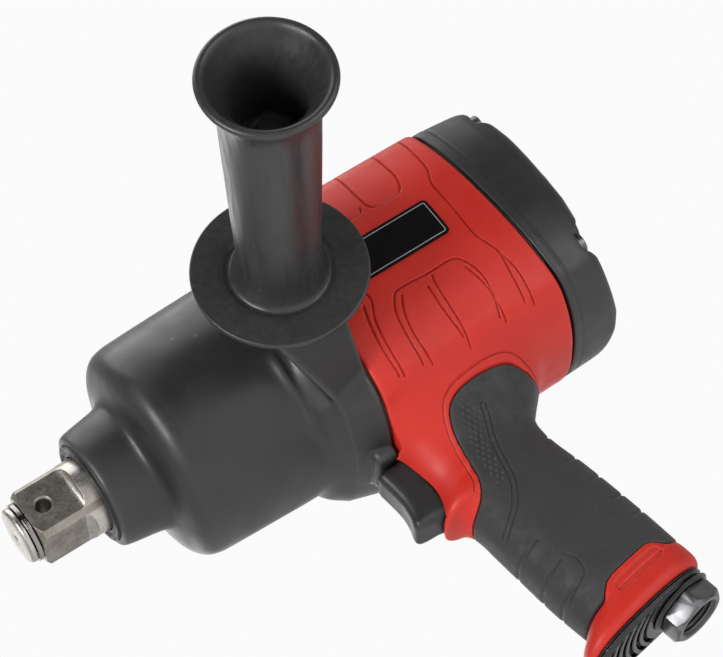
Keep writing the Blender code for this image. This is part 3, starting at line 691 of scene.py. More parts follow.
def case_field(x, y, z):
    radius = np.interp(x, CASE_TABLE[:, 0], CASE_TABLE[:, 1])
    slope = np.interp(x, CASE_TABLE[:, 0], CASE_SLOPE)
    front = (np.hypot(y, z) - radius) / np.sqrt(1 + slope * slope)
    block = rounded_square(y, z, BARREL_HALF, BARREL_TOP, 58.2, 3.5)
    taper = 0.34 * np.maximum(x + 126, 0) + 0.28 * np.maximum(x + 139, 0) * step_up(-z, 20, 45)
    block = smooth_meet(block + taper, x + 115.5, 6.0)
    turn = np.degrees(np.arctan2(np.abs(z), y))
    gusset = np.exp(-((x + 114.6) / 2.4) ** 2) * step_up(turn, 8, 24) * (1 - step_up(turn, 44, 66))
    body = smooth_union(front - 1.5 * gusset, block, 3.0)
    rise = y - 40.5
    front_lean, side_lean = 0.44, 0.46
    boss = meet_all(2.8, (x + 124.2 - front_lean * rise) / math.hypot(1, front_lean),
                    (np.abs(z) - 41.6 + side_lean * rise) / math.hypot(1, side_lean), 30 - y)
    boss = smooth_meet(boss, y - BOSS_TOP_Y, 1.2)
    body = smooth_union(body, boss, 2.5)
    lug = meet_all(4.5, np.abs(y) - 12.8, x + 131.2, -61.3 - z, z + 48)
    body = smooth_union(body, lug, 2.0)
    return meet_all(CASE_SMOOTHING, body, x - NOSE_X, CASE_REAR_X - x)


def make_case():
    case = skin("case_casting", case_field, (-143, -53, -64), (-32, 77, 57), 0.6)
    bore = [
        (-30, 0), (-30, 22), (-36.5, 22), (-36.5, 20.8), (-62.0, 20.8), (-62.0, 25), (-66, 30),
        (-68, 42.5), (-150, 42.5), (-150, 0),
    ]
    cut(case, turned("bore", bore, along_x(), False), rod("stud_hole", 5.3, 40, 80, along_y(HANDLE_X)))
    piece(case, "case_paint", "case_paint", "hammer_case")
    lip = [(-33.6, 21.7), (-36.2, 21.7), (-36.2, 16.9), (-33.9, 16.9), (-34.4, 18.6), (-33.7, 20.2)]
    seal = turned("nose_lip_seal", filleted(lip, 0.4), along_x())
    piece(seal, "seal_rubber", "seal_rubber", "nose_seal")

# ---- motor housing

TURN_SCALE = 0.9                # millimetres of the housing's side for each degree round the axis
PANEL_LINES = [                 # styling lines as (x, degrees round the drive axis from the side handle)
    # the spine and its twin
    [(-215.4, 64), (-215.2, 52), (-214.9, 38), (-213.8, 25), (-211.2, 18.4), (-210.5, 12.7), (-210.5, -2),
     (-210.6, -16), (-213, -23.8), (-214.4, -29), (-213.6, -37), (-212, -50)],
    [(-214.9, -30), (-216.4, -39.7), (-215.2, -53)],
    # the arch and the lines inside it
    [(-162.7, -50), (-163.4, -36), (-165, -27.4), (-168.6, -21.6), (-172.5, -20.4), (-186, -21.1),
     (-195.6, -21), (-199.8, -23.7), (-202.8, -31), (-202.8, -39), (-199.8, -50)],
    [(-170.8, -23.4), (-167.6, -29.8), (-166, -39.4), (-166.2, -52)],
    [(-199.2, -27), (-201, -33), (-202.2, -41), (-201.4, -53)],
    [(-185.9, -22.6), (-184.9, -28), (-184.4, -44), (-183.4, -54)],
    [(-181.8, -26), (-181.6, -37), (-182.6, -49)],
    # the front pair
    [(-159.3, -13.4), (-159.4, -18.5), (-155.9, -26.5), (-154.5, -35.2), (-153.9, -50)],
    [(-155.4, -19), (-153.1, -27.2), (-151.8, -36), (-151.8, -49)],
    # above the label
    [(-202, 64), (-202, 50), (-201.9, 38), (-201.4, 28.5), (-198.4, 21.8), (-192.4, 20), (-186.4, 20.4),
     (-183.7, 24), (-183.5, 32), (-184, 44), (-184, 64)],
    [(-168, 23), (-174, 22.0), (-179.3, 21.8), (-181, 24.4)],
]
PANELS = Plan([smooth_line(line) * (1, TURN_SCALE) for line in PANEL_LINES], reach=6.0, step=0.2)
GRIP_LINE = Plan([smooth_line([          # a fine line round the rubber's border, in (x, z)
    (-214, -67.6), (-206.4, -66.6), (-203.2, -60.4), (-198.6, -56.2), (-191, -54.9), (-179.6, -55.4),
    (-168.6, -57.2), (-162.2, -61.6), (-158.6, -69.8), (-156.9, -80.2), (-155.9, -89.8), (-153.6, -94.4)])],
    reach=4.0)
TRIGGER_FRONT = Plan([np.array([          # the space round the trigger, in (x, z)
    (-120, -61.9), (-136.6, -61.9), (-137.5, -64.8), (-139.8, -71.9), (-141.6, -78), (-142.3, -84),
    (-141.9, -88.5), (-140.2, -92.6), (-138.4, -95.4), (-136.6, -96.4), (-120, -96.6)])], closed=True)


def housing_field(x, y, z):
    s, t = to_grip(x, z)
    half = np.interp(x, (-225, -216, -195, -160, -142), (49.3, 49.9, 50.5, 50.7, 50.5))
    bottom = np.interp(x, (-210, -142), (58.5, 58.1))
    barrel = rounded_square(y, z, half, BARREL_TOP, bottom, 3.2)
    turn = np.degrees(np.arctan2(z, np.abs(y)))
    line = furrow(PANELS(x, turn * TURN_SCALE), 0.72)
    barrel = barrel + 0.7 * line * step_up(np.abs(y), 8, 14)
    rear = REAR_LEAN * z + HOUSING_REAR_X - x
    barrel = meet_all(1.6, barrel, x - HOUSING_FRONT_X, rear)
    nose = (np.hypot(np.maximum(s - 19, 0) / 15.3, y / 19) - 1) * 15
    nose = nose - 40 * (1 - step_up(t, -32, -16))
    neck = meet_all(3.0, grip_skin(s, y, t), -t - 52, nose)
    body = smooth_union(barrel, neck, 9.0)
    body = body + 0.6 * furrow(GRIP_LINE(x, z), 0.65) * step_up(np.abs(y), 6, 10)
    body = smooth_cut(body, RUBBER(x, z) - GAP, 0.7)
    core = smooth_meet(grip_skin(s, y, t, True) + CORE_INSET, meet_all(0.8, t - CORE_END, -t - 46), 0.8)
    body = np.minimum(body, core)
    case_space = meet_all(0.4, HOUSING_FRONT_X - x, -61.8 - z)
    body = smooth_cut(body, case_space, 0.5)
    return smooth_cut(body, TRIGGER_FRONT(x, z), 1.8)


def near_housing_lines(x, y, z):
    turn = np.degrees(np.arctan2(z, np.abs(y)))
    outside = np.hypot(y, z) > 47
    panels = np.where(outside & (np.abs(y) > 8), PANELS(x, turn * TURN_SCALE), 9)
    return np.minimum(panels, np.where(np.abs(y) > 6, GRIP_LINE(x, z), 9))


def bolt_holes(low, high):
    return [rod("bolt_hole", BOLT_HOLE_R, low, high, along_x(y, z), 16)
            for y in (-BOLT_Y, BOLT_Y) for z in (-BOLT_Z, BOLT_Z)]


def make_housing():
    housing = skin("housing_moulding", housing_field, (-232, -53, -168), (-124, 53, 57), 0.9,
                   near_housing_lines)
    half = TRIGGER_HALF + 0.5
    inlet = along_grip(INLET_S)
    cutters = [
        rod("motor_bore", MOTOR_BORE_R, -240, -130, along_x(), 96),
        box("trigger_pocket", (-153, -half, -94.2), (-120, half, -61.8)),
        rod("throttle_bore", 9.3, -186, -150, along_x(0, TRIGGER_Z)),
        rod("air_way", 6.5, -15, 45, inlet),
        rod("inlet_thread", 9.8, 30, 70, inlet),
        rod("silencer_bore", 8.2, 8, 70, along_grip(SILENCER_S)),
        *bolt_holes(-240, -130),
    ]
    for cutter in cutters:
        cut(housing, cutter)
    piece(housing, "red_plastic", "red_plastic", "motor_housing")


def make_label():
    """A blank gloss label with a plain keyline, laid on the housing's swelling side."""
    half_x, half_z, corner = 20.0, 9.2, 2.0
    middle = (-183.5, 0.4)

    def outline(inset):
        points = []
        for side_x, side_z, start in ((1, 1, 0), (-1, 1, 90), (-1, -1, 180), (1, -1, 270)):
            for k in range(7):
                a = math.radians(start + 15 * k)
                points.append((side_x * (half_x - corner) + (corner - inset) * math.cos(a),
                               side_z * (half_z - corner) + (corner - inset) * math.sin(a)))
        return points

    def sheet(name, inset, lift, thick, width=0.0):
        bm = bmesh.new()
        outer = [bm.verts.new((u, v, 0)) for u, v in outline(inset)]
        if width:
            inner = [bm.verts.new((u, v, 0)) for u, v in outline(inset + width)]
            for i in range(len(outer)):
                j = (i + 1) % len(outer)
                bm.faces.new((outer[i], outer[j], inner[j], inner[i]))
        else:
            bm.faces.new(outer)
        for v in np.arange(-8, 8.1, 1.0):
            geometry = bm.verts[:] + bm.edges[:] + bm.faces[:]
            bmesh.ops.bisect_plane(bm, geom=geometry, plane_co=(0, v, 0), plane_no=(0, 1, 0))
        made = bmesh.ops.extrude_face_region(bm, geom=bm.faces[:])["geom"]
        raised = {item for item in made if isinstance(item, bmesh.types.BMVert)}
        for vert in bm.verts:
            z = vert.co.y + middle[1]
            swell = BARREL_HALF * (1 - (1 - CREASE) * (abs(z) / 55.4 / CREASE) ** FACE_POWER)
            rise = lift + (thick if vert in raised else 0)
            vert.co = [c * MM for c in (middle[0] - vert.co.x, swell + rise, z)]
        bmesh.ops.recalc_face_normals(bm, faces=bm.faces)
        mesh = bpy.data.meshes.new(name)
        bm.to_mesh(mesh)
        bm.free()
        return shaded(scene_object(name, mesh), 35)

    piece(sheet("side_label", 0.0, 0.08, 0.45), "label", "label", "label_plate")
    piece(sheet("label_keyline", 1.2, 0.52, 0.05, 0.4), "label_print", "label")

# ---- grip rubber

FINGER_LINES = Plan([smooth_line(line) for line in (          # grooves in the rubber's side, in (s, t)
    [(16.4, 23.7), (22.2, 24.0), (28.7, 25.4)], [(16.4, 36.0), (22.6, 37.1), (28.9, 39.4)],
    [(14.2, 35.0), (12.4, 39.8), (13.4, 45.3), (17.0, 47.7), (23.2, 48.7), (28.3, 50.4)])], reach=4.0)
S_LINE = Plan([smooth_line([(-9.5, -31), (-7.6, -27.0), (-2.7, -19.0), (0.9, -10.0), (4.6, -1.2), (10.2, 5.6),
                            (16.0, 9.4), (22.6, 12.4), (27.5, 15.2)])], reach=6.0)
REAR_RIBS = (-8.0, 6.5, 18.8, 30.7, 41.2)
FRONT_NOTCHES = (22.2, 36.2, 46.6)


def rubber_field(x, y, z):
    s, t = to_grip(x, z)
    grip = grip_skin(s, y, t) - 0.55 * step_up(t, -4, 12)
    beside = step_up(np.abs(y), 8, 12)
    lines = furrow(FINGER_LINES(s, t), 0.7) + furrow(np.abs(S_LINE(s, t)) - 1.1, 0.6)
    grip = grip + 0.65 * np.minimum(lines, 1) * beside
    behind = step_up(-s, 14, 19)
    for rib in REAR_RIBS:
        grip = grip + 0.9 * furrow(t - rib - 0.1 * (s + 25), 1.5) * behind
    before = step_up(s, 19, 23)
    for notch in FRONT_NOTCHES:
        grip = grip + 0.8 * furrow(t - notch, 1.3) * before
    grip = meet_all(1.2, grip, RUBBER(x, z), t - RUBBER_END)
    grip = smooth_cut(grip, TAB(s, t) - GAP, 0.7)
    core = smooth_meet(grip_skin(s, y, t, True) + 2.7, t - 80, 1.0)
    return smooth_cut(grip, core, 0.5)


def near_rubber_lines(x, y, z):
    s, t = to_grip(x, z)
    return np.where(np.abs(y) > 10, np.minimum(FINGER_LINES(s, t), S_LINE(s, t) - 0.9), 9)


def make_rubber():
    rubber = skin("grip_overmould", rubber_field, (-222, -30, -166), (-122, 30, -52), 0.7, near_rubber_lines)
    piece(rubber, "grip_rubber", "grip_rubber", "grip_rubber")


DOT_REGION = [                  # (x, z) outline of the raised dots
    (-168.6, -60.5), (-166.4, -66), (-163.4, -76), (-162.4, -84), (-161.6, -92), (-162.6, -98.5),
    (-166.4, -99.6), (-168.9, -90), (-171.6, -77), (-175.2, -68.5), (-173, -61.5),
]


def make_dots():
    """Small domes in staggered rows on both sides of the grip."""
    plan = Plan([smooth_line(DOT_REGION, closed=True, per=3)], closed=True, reach=3)
    pitch, radius = 2.5, 0.88
    points, faces = [], []
    for row in range(20):
        for column in range(9):
            x = -178 + column * pitch + (row % 2) * pitch / 2
            z = -58 - row * pitch * 0.87
            if plan(x, z) > -0.6:
                continue
            s, t = to_grip(x, z)
            for side in (1, -1):
                tried = np.arange(10, 40, 0.02)
                depth = grip_skin(s, tried * side, t)
                y = float(np.interp(0, depth, tried))
                lean = float(np.interp(0, depth, np.gradient(depth, tried)))
                add_dome(points, faces, (x, side * y, z), side, radius, max(lean, 0.5))
    piece(tidy_faces(mesh_object("grip_dots", points, faces), 60), "grip_rubber", "grip_rubber")


def add_dome(points, faces, centre, side, radius, lean):
    around = 10
    first = len(points)
    for height, share in ((-0.5, 1.0), (0.2, 1.0), (0.48, 0.75), (0.58, 0.38)):
        for k in range(around):
            turn = 2 * math.pi * k / around
            points.append((centre[0] + radius * share * math.cos(turn),
                           centre[1] + side * height / lean,
                           centre[2] + radius * share * math.sin(turn)))
    faces += ring_faces(4, around, first)
    faces += [tuple(first + row * around + k for k in range(around)) for row in (0, 3)]

# ---- base cap, deflector and inlet

DEFLECTOR_S = 6.5               # the middle of the deflector
CAP_TABLE = smooth_line([       # t, rear, front, half width
    (58, -25.3, 25.9, 19.5), (59.8, -25.4, 25.9, 19.5), (62.4, -25.7, 29.4, 19.9), (65.4, -25.8, 34.2, 20.2),
    (69.2, -25.5, 37.4, 20.2), (72, -24, 37.2, 18.9), (74, -22, 35, 17)])


def cap_field(x, y, z):
    s, t = to_grip(x, z)
    rear, front, half = (np.interp(t, CAP_TABLE[:, 0], CAP_TABLE[:, k]) for k in (1, 2, 3))
    cap = oval(s - (front + rear) / 2, y, (front - rear) / 2, half)
    cap = meet_all(1.6, cap, 59.9 - t, t - 72)
    tab = smooth_meet(grip_skin(s, y, t) - 0.7, TAB(s, t), 0.8)
    cap = smooth_union(cap, tab, 0.8)
    plate = np.hypot(np.maximum(np.abs(s + 1.3) - 9.6, 0), t - 60.3) - 2.7
    sunk = 0.6 * (1 - step_up(plate, -0.35, 0.15)) * step_up(np.abs(y), 10, 14)
    core = smooth_meet(grip_skin(s, y, t, True) + 2.7, t - 57.8, 0.8)
    return smooth_cut(cap + sunk, core, 0.5)


def louvre_distance(s, y):
    """Distance from the deflector's curved slots, which sweep round the inlet."""
    from_inlet = np.hypot(s - INLET_S, y)
    sweep = np.degrees(np.arctan2(np.abs(y), s - INLET_S))
    pitch, first, count = 3.9, 19.6, 7
    ring = np.clip(np.round((from_inlet - first) / pitch), 0, count - 1)
    radius = first + pitch * ring
    across = np.abs(from_inlet - radius) - 0.95
    end = (sweep - (44 - 3.4 * ring)) * math.radians(1) * radius
    return smooth_meet(across, end, 0.6)


def deflector_field(x, y, z):
    s, t = to_grip(x, z)
    grow = np.interp(t, (73.0, 73.9, 74.0, 74.6, 74.7, 75.4), (0.0, -0.2, -1.0, -1.2, -2.0, -2.3))
    plate = oval(s - DEFLECTOR_S, y, 29.7 + grow, 18.0 + grow)
    plate = meet_all(0.5, plate, 73.3 - t, t - 75.4)
    hole = np.hypot(s - INLET_S, y) - INLET_HOLE_R
    rim = oval(s - DEFLECTOR_S, y, 26.6, 15.2)
    slots = smooth_meet(louvre_distance(s, y), rim, 0.4)
    return smooth_cut(smooth_cut(plate, hole, 0.4), slots, 0.4)


def gasket_field(x, y, z):
    s, t = to_grip(x, z)
    plate = meet_all(0.3, oval(s - DEFLECTOR_S, y, 29.3, 17.7), 72.3 - t, t - 73.0)
    return smooth_cut(plate, np.hypot(s - INLET_S, y) - INLET_HOLE_R, 0.2)


DUCT_OUTLINE = [(3.5, 56), (3.5, 72.8), (30, 72.8), (28, 66), (20, 60), (18.5, 56)]


def make_base():
    low, high = (-214, -22, -184), (-132, 22, -148)
    cap = skin("base_moulding", cap_field, low, high, 0.5)
    cut(cap, rod("inlet_hole", INLET_HOLE_R, 50, 80, along_grip(INLET_S)),
        prism("duct", DUCT_OUTLINE, lambda u, v, w: from_grip(u, w, v), -12, 12))
    piece(cap, "red_plastic", "red_plastic", "base_cap")
    deflector = skin("deflector_moulding", deflector_field, low, high, 0.4)
    piece(deflector, "gloss_black", "black_plastic", "exhaust_deflector")
    gasket = skin("base_gasket_sheet", gasket_field, low, high, 0.45)
    piece(gasket, "seal_rubber", "seal_rubber", "base_gasket")


def make_inlet():
    axis = along_grip(INLET_S)
    collar = filleted([(75.7, 14.6), (76.2, 14.6), (76.4, 13.9), (77.3, 13.4), (77.3, INLET_HOLE_R),
                       (75.7, INLET_HOLE_R)], 0.3)
    piece(turned("inlet_collar_ring", collar, axis), "gloss_black", "black_plastic", "inlet_collar")
    profile = [(31, 5.5), (31, 9.3), (77.6, 9.3), (77.6, 12.8), (78.3, 13.4), (83.9, 13.4), (86.0, 11.3),
               (86.0, 9.6)]
    for i in range(8):              # the thread's rings
        t = 85.2 - 1.8 * i
        profile += [(t, 8.9), (t - 0.9, 8.15)]
    profile += [(68, 8.9), (68, 5.5)]
    bushing = turned("inlet_hexagon", profile, axis)
    flat, beyond, half = 11.6, 21.6, 12
    blocks = []
    for turn in math.pi / 3 * np.arange(6):
        c, n = math.cos(turn), math.sin(turn)
        outline = [(u * c - v * n, u * n + v * c)
                   for u, v in ((flat, -half), (beyond, -half), (beyond, half), (flat, half))]
        blocks.append(prism("flat", outline, lambda u, v, w: from_grip(INLET_S + u, v, w), 77.0, 90.0))
    combine(bushing, "DIFFERENCE", blocks)
    bevelled(bushing, 0.25, 2, 25)
    piece(bushing, "inlet_steel", "dark_steel", "inlet_bushing")
    screen = turned("inlet_mesh", filleted([(68.4, 8.0), (69.6, 8.0), (69.6, 1.2), (68.4, 1.2)], 0.2), axis)
    holes = []
    for ring_r, count in ((3.2, 6), (5.8, 12)):
        for turn in 2 * math.pi / count * (np.arange(count) + 0.5):
            place = along_grip(INLET_S + ring_r * math.cos(turn), ring_r * math.sin(turn))
            holes.append(rod("hole", 0.85, 66, 72, place, 12))
    cut(screen, *holes)
    piece(screen, "machined_steel", "machined_steel", "inlet_screen")

# ---- trigger

TRIGGER_PLAN = Plan([smooth_line([
    (-130.6, -62.5), (-138, -62.3), (-146, -62.3), (-146, -78), (-146, -92.8), (-138, -92.6), (-131.4, -92.2),
    (-128.8, -90.9), (-128.6, -88.4), (-129.8, -84.5), (-130.5, -79), (-130.2, -73.5), (-129.6, -68.5),
    (-129.2, -64.4)], closed=True, per=4)], closed=True)


def trigger_field(x, y, z):
    return smooth_meet(TRIGGER_PLAN(x, z), np.abs(y) - TRIGGER_HALF, 4.6)


def make_throttle_spring():
    """A coil with closed ends; it keeps one length, though the real spring shortens as the valve lifts."""
    front, rear, coil_r, wire_r, turns = -169.2, -184.9, 4.4, 0.6, 6
    steps, around = 24 * turns, 10
    points = []
    for i in range(steps + 1):
        share = i / steps
        lay = np.interp(share, (0, 1 / turns, 1 - 1 / turns, 1), (0, 0.09, 0.91, 1))
        turn = 2 * math.pi * turns * share
        centre = (front + (rear - front) * lay, coil_r * math.cos(turn), TRIGGER_Z + coil_r * math.sin(turn))
        for k in range(around):
            a = 2 * math.pi * k / around
            out = wire_r * math.cos(a)
            points.append((centre[0] + wire_r * math.sin(a), centre[1] + out * math.cos(turn),
                           centre[2] + out * math.sin(turn)))
    faces = [*ring_faces(steps + 1, around), tuple(range(around)),
             tuple(steps * around + k for k in range(around))]
    spring = tidy_faces(mesh_object("throttle_coil", points, faces), 60)
    piece(spring, "machined_steel", "machined_steel", "throttle_spring")
    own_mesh(spring)


def make_trigger():
    trigger = skin("trigger_pad", trigger_field, (-148, -11, -96), (-127, 11, -60), 0.4)
    cut(trigger, rod("stem_socket", 2.5, -150, -139, along_x(0, TRIGGER_Z), 24))
    piece(trigger, "black_plastic", "black_plastic", "trigger", body="trigger")

# ---- rear cover and dial

def cover_field(x, y, z):
    half, top, bottom = (np.interp(x, (-254, -242, -225.7), sizes)
                         for sizes in ((45.4, 47.8, 49.2), (49.8, 51.6, 52.8), (57.9, 58.1, 58.2)))
    ridge = np.interp(x, (-254, -238), (6.0, 3.2))
    cover = rounded_square(y, z, half, top, bottom, ridge)
    joint = x - COVER_FRONT_X - REAR_LEAN * z
    cover = smooth_meet(cover, joint, 1.2)
    crown = COVER_REAR_X - x + 0.0008 * (y * y + np.maximum(z, 0) ** 2) + 0.0002 * np.minimum(z, 0) ** 2
    corner = np.maximum(np.abs(y) - 6, 0) * np.maximum(np.abs(z) - 18, 0)
    crown = crown + np.where(z < 0, 0.0033, 0.0018) * corner
    cover = smooth_meet(cover, crown, 5.0)
    recess = smooth_meet(np.hypot(y, z) - 32.1, x + 250.9, 0.5)
    cover = smooth_cut(cover, recess, 1.0)
    groove = furrow(x - 0.06 * z + 230.6, 0.9)
    scallop = np.hypot(np.abs(y) - BOLT_Y, np.abs(z) - BOLT_Z) - 8.5
    scallop = smooth_meet(scallop, x - BOLT_HEAD_X, 0.6)
    return smooth_cut(cover + 0.35 * groove, scallop, 1.4)


def make_rear_cover():
    cover = skin("rear_cover_moulding", cover_field, (-258, -52, -60), (-219, 52, 57), 0.6)
    cut(cover, rod("cavity", MOTOR_BORE_R, -243.5, -210, along_x(), 96),
        rod("stem_hole", 7.6, -262, -230, along_x()))
    for hole in bolt_holes(-262, -210):
        cut(cover, hole)
    piece(cover, "black_plastic", "black_plastic", "rear_cover")
    for number, (side, level) in enumerate(((1, 1), (1, -1), (-1, 1), (-1, -1)), 1):
        make_bolt(number, side * BOLT_Y, level * BOLT_Z)


def make_bolt(number, y, z):
    """A socket head screw in its scallop."""
    under = BOLT_HEAD_X - GAP
    top = under - 3.4
    head = filleted([(under, 4.3), (top, 4.3), (top, 2.6)], 0.5, closed=False)
    profile = [(-128, 0), (-128, 2.4), (under, 2.4), *head, (top, 0)]
    bolt = turned(f"cover_screw_{number}", profile, along_x(y, z), False, 48)
    cut(bolt, prism("socket", hexagon(2.3), lambda u, v, w: (w, y + u, z + v), top - 4, top + 2.6))
    piece(bolt, "dark_steel", "dark_steel", f"housing_bolt_{number}")


def dial_field(x, y, z):
    radius = np.hypot(y, z)
    dial = meet_all(1.5, radius - 31.5, -258.0 - x + 0.0011 * np.maximum(radius - 6, 0) ** 2, x + 251.6)
    turn = np.arctan2(z, y)
    place = (turn / (2 * math.pi) * 24) % 1 - 0.5
    notch = np.hypot(place * 2 * math.pi * 32.6 / 24, radius - 32.6) - 2.1
    dial = smooth_cut(dial, smooth_meet(notch, x + 253.4, 0.5), 0.8)
    hollow = meet_all(1.5, radius - 25.5, 6.0 - np.abs(y), x + 255.6)
    return smooth_cut(dial, hollow, 1.5)


def make_dial():
    dial = skin("direction_dial", dial_field, (-260, -33, -33), (-250, 33, 33), 0.45)
    cut(dial, rod("screw_hole", 2.4, -262, -240, along_x(), 32),
        rod("screw_sink", 4.6, -262, -255.5, along_x(), 48))
    piece(dial, "black_plastic", "black_plastic", "reverse_dial", body="reverse_dial")
    head = filleted([(-255.8, 2.0), (-255.8, 4.1), (-257.6, 4.1), (-257.6, 2.2)], 0.4, closed=False)
    profile = [(-241, 0), (-241, 2.0), *head, (-257.6, 0)]
    screw = turned("dial_centre_screw", profile, along_x(), False, 48)
    cut(screw, box("slot", (-260, -0.5, -6), (-256.9, 0.5, 6)))
    piece(screw, "dark_steel", "dark_steel", "dial_screw", body="reverse_dial")

# ---- anvil and its rings

def make_anvil():
    profile = filleted([
        (0, 0), (0, 11.2), (-1.0, 12.1), (-2.6, 12.1), (-2.6, 9.3), (-5.4, 9.3), (-5.6, 14.2),
        (-7.4, 16.35), (-36.6, 16.35), (-37.2, 15.1), (-62.4, 15.1), (-62.4, 19.0), (-66.0, 19.0),
        (-66.6, 12.5), (-115.5, 12.5), (-115.5, 0)], 0.35, 3, closed=False)
    anvil = turned("square_drive", profile, along_x(), False, 128)
    half, end, sweep = 12.7, -28.6, 3.4
    curve = [(end + sweep - sweep * math.sin(a), half + sweep - sweep * math.cos(a))
             for a in np.linspace(0, math.pi / 2, 9)]
    outline = [(-5.5, half), *curve, (end, 30), (-5.5, 30)]
    hole = [(-30, 0), (-30, 4.0), (-12.75, 4.0), (-11.9, 3.15), (11.9, 3.15), (12.75, 4.0), (30, 4.0),
            (30, 0)]
    flats = [prism("flat", outline, lambda u, v, w: (u, w * c - v * n, w * n + v * c), -18, 18)
             for c, n in ((1, 0), (0, 1), (-1, 0), (0, -1))]
    cut(anvil, *flats, turned("cross_hole", hole, along_y(-13.8), False, 48),
        turned("centre_mark", [(-1.6, 0), (0.2, 1.5), (1, 1.5), (1, 0)], along_x(), False, 24), sharp=30)
    bevelled(anvil, 0.45, 3, 28)
    bars = box("impact_lugs", (-114.5, -4.5, -15.5), (-78, 4.5, 15.5))
    combine(anvil, "UNION", [bars], 30)
    piece(anvil, "drive_steel", "drive_steel", "anvil", body="anvil")
    anvil.data.materials.append(FINISH["worn_steel"])
    for face in anvil.data.polygons:
        x, y, z = (c / MM for c in face.center)
        if end < x < -5.7 and max(abs(y), abs(z)) < half + 0.02:
            face.material_index = 1
    split = filleted([(-3.1, 12.75), (-5.1, 12.75), (-5.1, 11.2), (-3.1, 11.2)], 0.35)
    ring = turned("friction_ring_wire", split, along_x())
    cut(ring, box("ring_split", (-7, 6, -1.1), (-1, 16, 1.1)))
    piece(ring, "ring_steel", "dark_steel", "friction_ring", body="anvil")
    cord = [(-4.1 + 0.6 * math.cos(a), 10.25 + 0.6 * math.sin(a)) for a in math.pi / 6 * np.arange(12)]
    o_ring = turned("tip_o_ring", cord, along_x())
    piece(o_ring, "seal_rubber", "seal_rubber", "anvil_o_ring", body="anvil")

# ---- side handle

def make_side_handle():
    axis = along_y(HANDLE_X)
    outside = smooth_line([
        (80.4, 23.6), (80.2, 22.0), (79.7, 20.8), (79.7, 19.6), (81.0, 18.4), (83.6, 17.4),
        (87.5, 16.7), (96, 16.5), (130, 17.6), (165, 18.7), (180, 19.1), (189, 19.6), (195.5, 20.6),
        (200.4, 22.4), (203.8, 24.6), (206.2, 26.0), (207.9, 26.1), (208.8, 25.1), (208.8, 23.8),
        (207.6, 22.4), (204.4, 20.4), (200.4, 17.9), (197.2, 16.2), (194, 15.1), (189, 14.3), (172, 13.2)], per=5)
    flange = filleted([(80.4, 26), (80.4, 34.6), (79.2, 35.0), (77.6, 34.6), (77.2, 33.8), (77.2, 5.6),
                       (THROAT_Y, 5.6)], 0.7, 4, closed=False)
    profile = [*flange, (THROAT_Y, 13.2), *outside[::-1]]
    handle = turned("handle_moulding", profile, axis, steps=128)
    piece(handle, "handle_plastic", "black_plastic", "side_handle")
    washer = filleted([(76.8, 17), (74.6, 17), (74.6, 5.4), (76.8, 5.4)], 0.5)
    piece(turned("handle_washer_ring", washer, axis), "seal_rubber", "seal_rubber", "handle_washer")
    profile = filleted([(51, 0), (51, 5.0), (176, 5.0), (176, 0)], 0.6, 3, closed=False)
    stud = turned("handle_stud_rod", profile, axis, False, 48)
    # near black finish: painted shade inside the handle's hollow
    piece(stud, "shadow_black_steel", "machined_steel", "handle_stud")
    nut = prism("handle_hex_nut", hexagon(9.8), lambda u, v, w: (HANDLE_X + u, w, v), 166.4, 174)
    cut(nut, rod("nut_bore", 5.35, 160, 180, axis))
    bevelled(nut, 0.4, 2, 40)
    # near black finish: painted shade inside the handle's hollow
    piece(nut, "shadow_black_steel", "machined_steel", "handle_nut")

# ---- inner pieces that stay as packed

def dress_inner_pieces():
    """The working parts inside keep their CAD shape and get their finishes."""
    names = {
        "machined_steel": ("rotor", "hammer_1", "hammer_2", "hammer_pin_1", "hammer_pin_2", "front_bearing",
                           "rear_bearing", "trigger_stem"),
        "dark_steel": ("hammer_cage", "motor_cylinder"),
        "bronze": ("anvil_bush", "throttle_bushing", "throttle_valve"),
        "alloy": ("front_end_plate", "rear_end_plate", "reverse_valve"),
        "gasket_fibre": ("case_gasket", "rear_gasket"),
        "fibre": ("exhaust_silencer", *(f"rotor_vane_{i}" for i in range(1, 7))),
    }
    for finish, nodes in names.items():
        for node in nodes:
            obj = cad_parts[node]
            obj.data.materials.clear()
            obj.data.materials.append(FINISH[finish])

# ---- studio

CAMERA_AT = (0.23346, 1.21235, -0.60953)
CAMERA_AIM = (-0.16137, 0.01236, -0.00609)
CAMERA_UP = (-0.49694, 0.51481, 0.69858)
CAMERA_LENS = 173.2


def make_camera():
    data = bpy.data.cameras.new("camera")
    data.lens = CAMERA_LENS
    data.clip_start, data.clip_end = 0.05, 200
    camera = scene_object("camera", data)
    at, up = Vector(CAMERA_AT), Vector(CAMERA_UP)
    back = (at - Vector(CAMERA_AIM)).normalized()
    right = up.cross(back).normalized()
    up = back.cross(right)
    turn = Matrix((right, up, back)).transposed().to_4x4()
    camera.matrix_world = Matrix.Translation(at) @ turn
    bpy.context.scene.camera = camera


def area_light(name, at, aim, size, power):
    data = bpy.data.lights.new(name, "AREA")
    data.shape = "RECTANGLE"
    data.size, data.size_y = size
    data.energy = power
    light = scene_object(name, data)
    light.location = at
    light.rotation_euler = (Vector(aim) - Vector(at)).to_track_quat("-Z", "Y").to_euler()


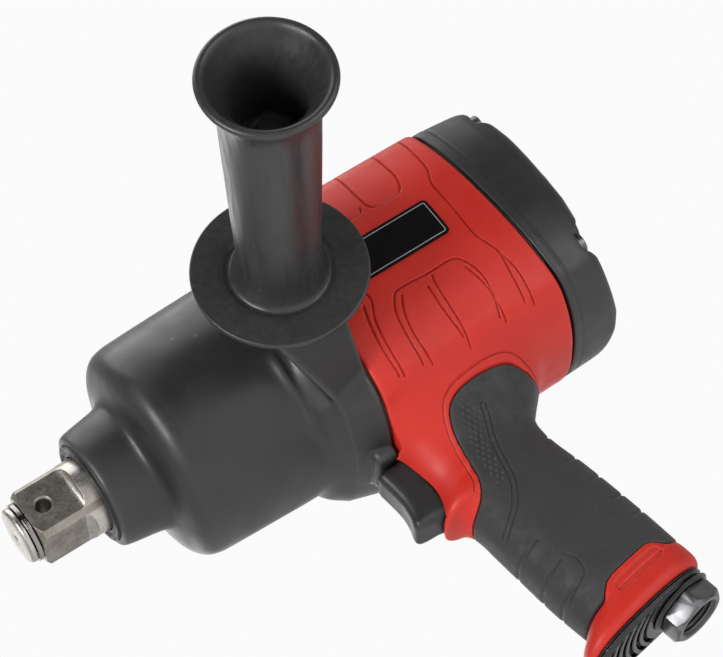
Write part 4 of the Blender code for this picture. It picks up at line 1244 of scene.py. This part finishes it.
def make_studio():
    reach, level = 40000, -1300
    corners = [(x * reach, y * reach, level) for x, y in ((-1, -1), (1, -1), (1, 1), (-1, 1))]
    floor = mesh_object("studio_floor", corners, [(0, 1, 2, 3)])
    pale = Finish("floor_paint", (0.86, 0.86, 0.86), 0.8, Emission_Strength=0.35)
    pale.roughen((200, 2), 0.75, 0.85)
    floor.data.materials.append(pale.material)
    world = bpy.data.worlds.new("studio")
    bpy.context.scene.world = world
    world.use_nodes = True
    nodes, link = world.node_tree.nodes, world.node_tree.links.new
    toward = nodes.new("ShaderNodeVectorMath")      # darkest towards this direction
    toward.operation = "DOT_PRODUCT"
    toward.inputs[1].default_value = (0.1, 0.9, 0.35)
    link(nodes.new("ShaderNodeTexCoord").outputs["Generated"], toward.inputs[0])
    fade = nodes.new("ShaderNodeMapRange")
    for socket, number in (("From Min", -0.3), ("From Max", 0.8), ("To Min", 0.55), ("To Max", 0.1)):
        fade.inputs[socket].default_value = number
    link(toward.outputs["Value"], fade.inputs["Value"])
    light = nodes["Background"]
    light.inputs["Color"].default_value = (1, 1, 1, 1)
    link(fade.outputs["Result"], light.inputs["Strength"])
    backdrop = nodes.new("ShaderNodeBackground")
    backdrop.inputs["Color"].default_value = (0.96, 0.96, 0.96, 1)
    pick = nodes.new("ShaderNodeMixShader")
    link(nodes.new("ShaderNodeLightPath").outputs["Is Camera Ray"], pick.inputs[0])
    link(light.outputs[0], pick.inputs[1])
    link(backdrop.outputs[0], pick.inputs[2])
    link(pick.outputs[0], nodes["World Output"].inputs["Surface"])
    middle = (-0.13, 0.03, -0.05)
    area_light("key", (1.05, 0.95, 0.0), middle, (0.45, 0.8), 17)      # place, aim, size, watts
    area_light("fill", (-0.9, 1.1, -0.45), middle, (0.8, 0.8), 5)
    area_light("top", (-0.2, 0.2, 1.4), middle, (1.4, 1.4), 14)
    area_light("back", (-0.2, -1.4, 0.6), middle, (1.4, 1.0), 6)
    bpy.context.scene.view_settings.view_transform = "Standard"


for make in (make_case, make_housing, make_label, make_rubber, make_dots, make_base, make_inlet, make_trigger,
             make_throttle_spring, make_rear_cover, make_dial, make_anvil, make_side_handle,
             dress_inner_pieces, make_camera, make_studio):
    make()
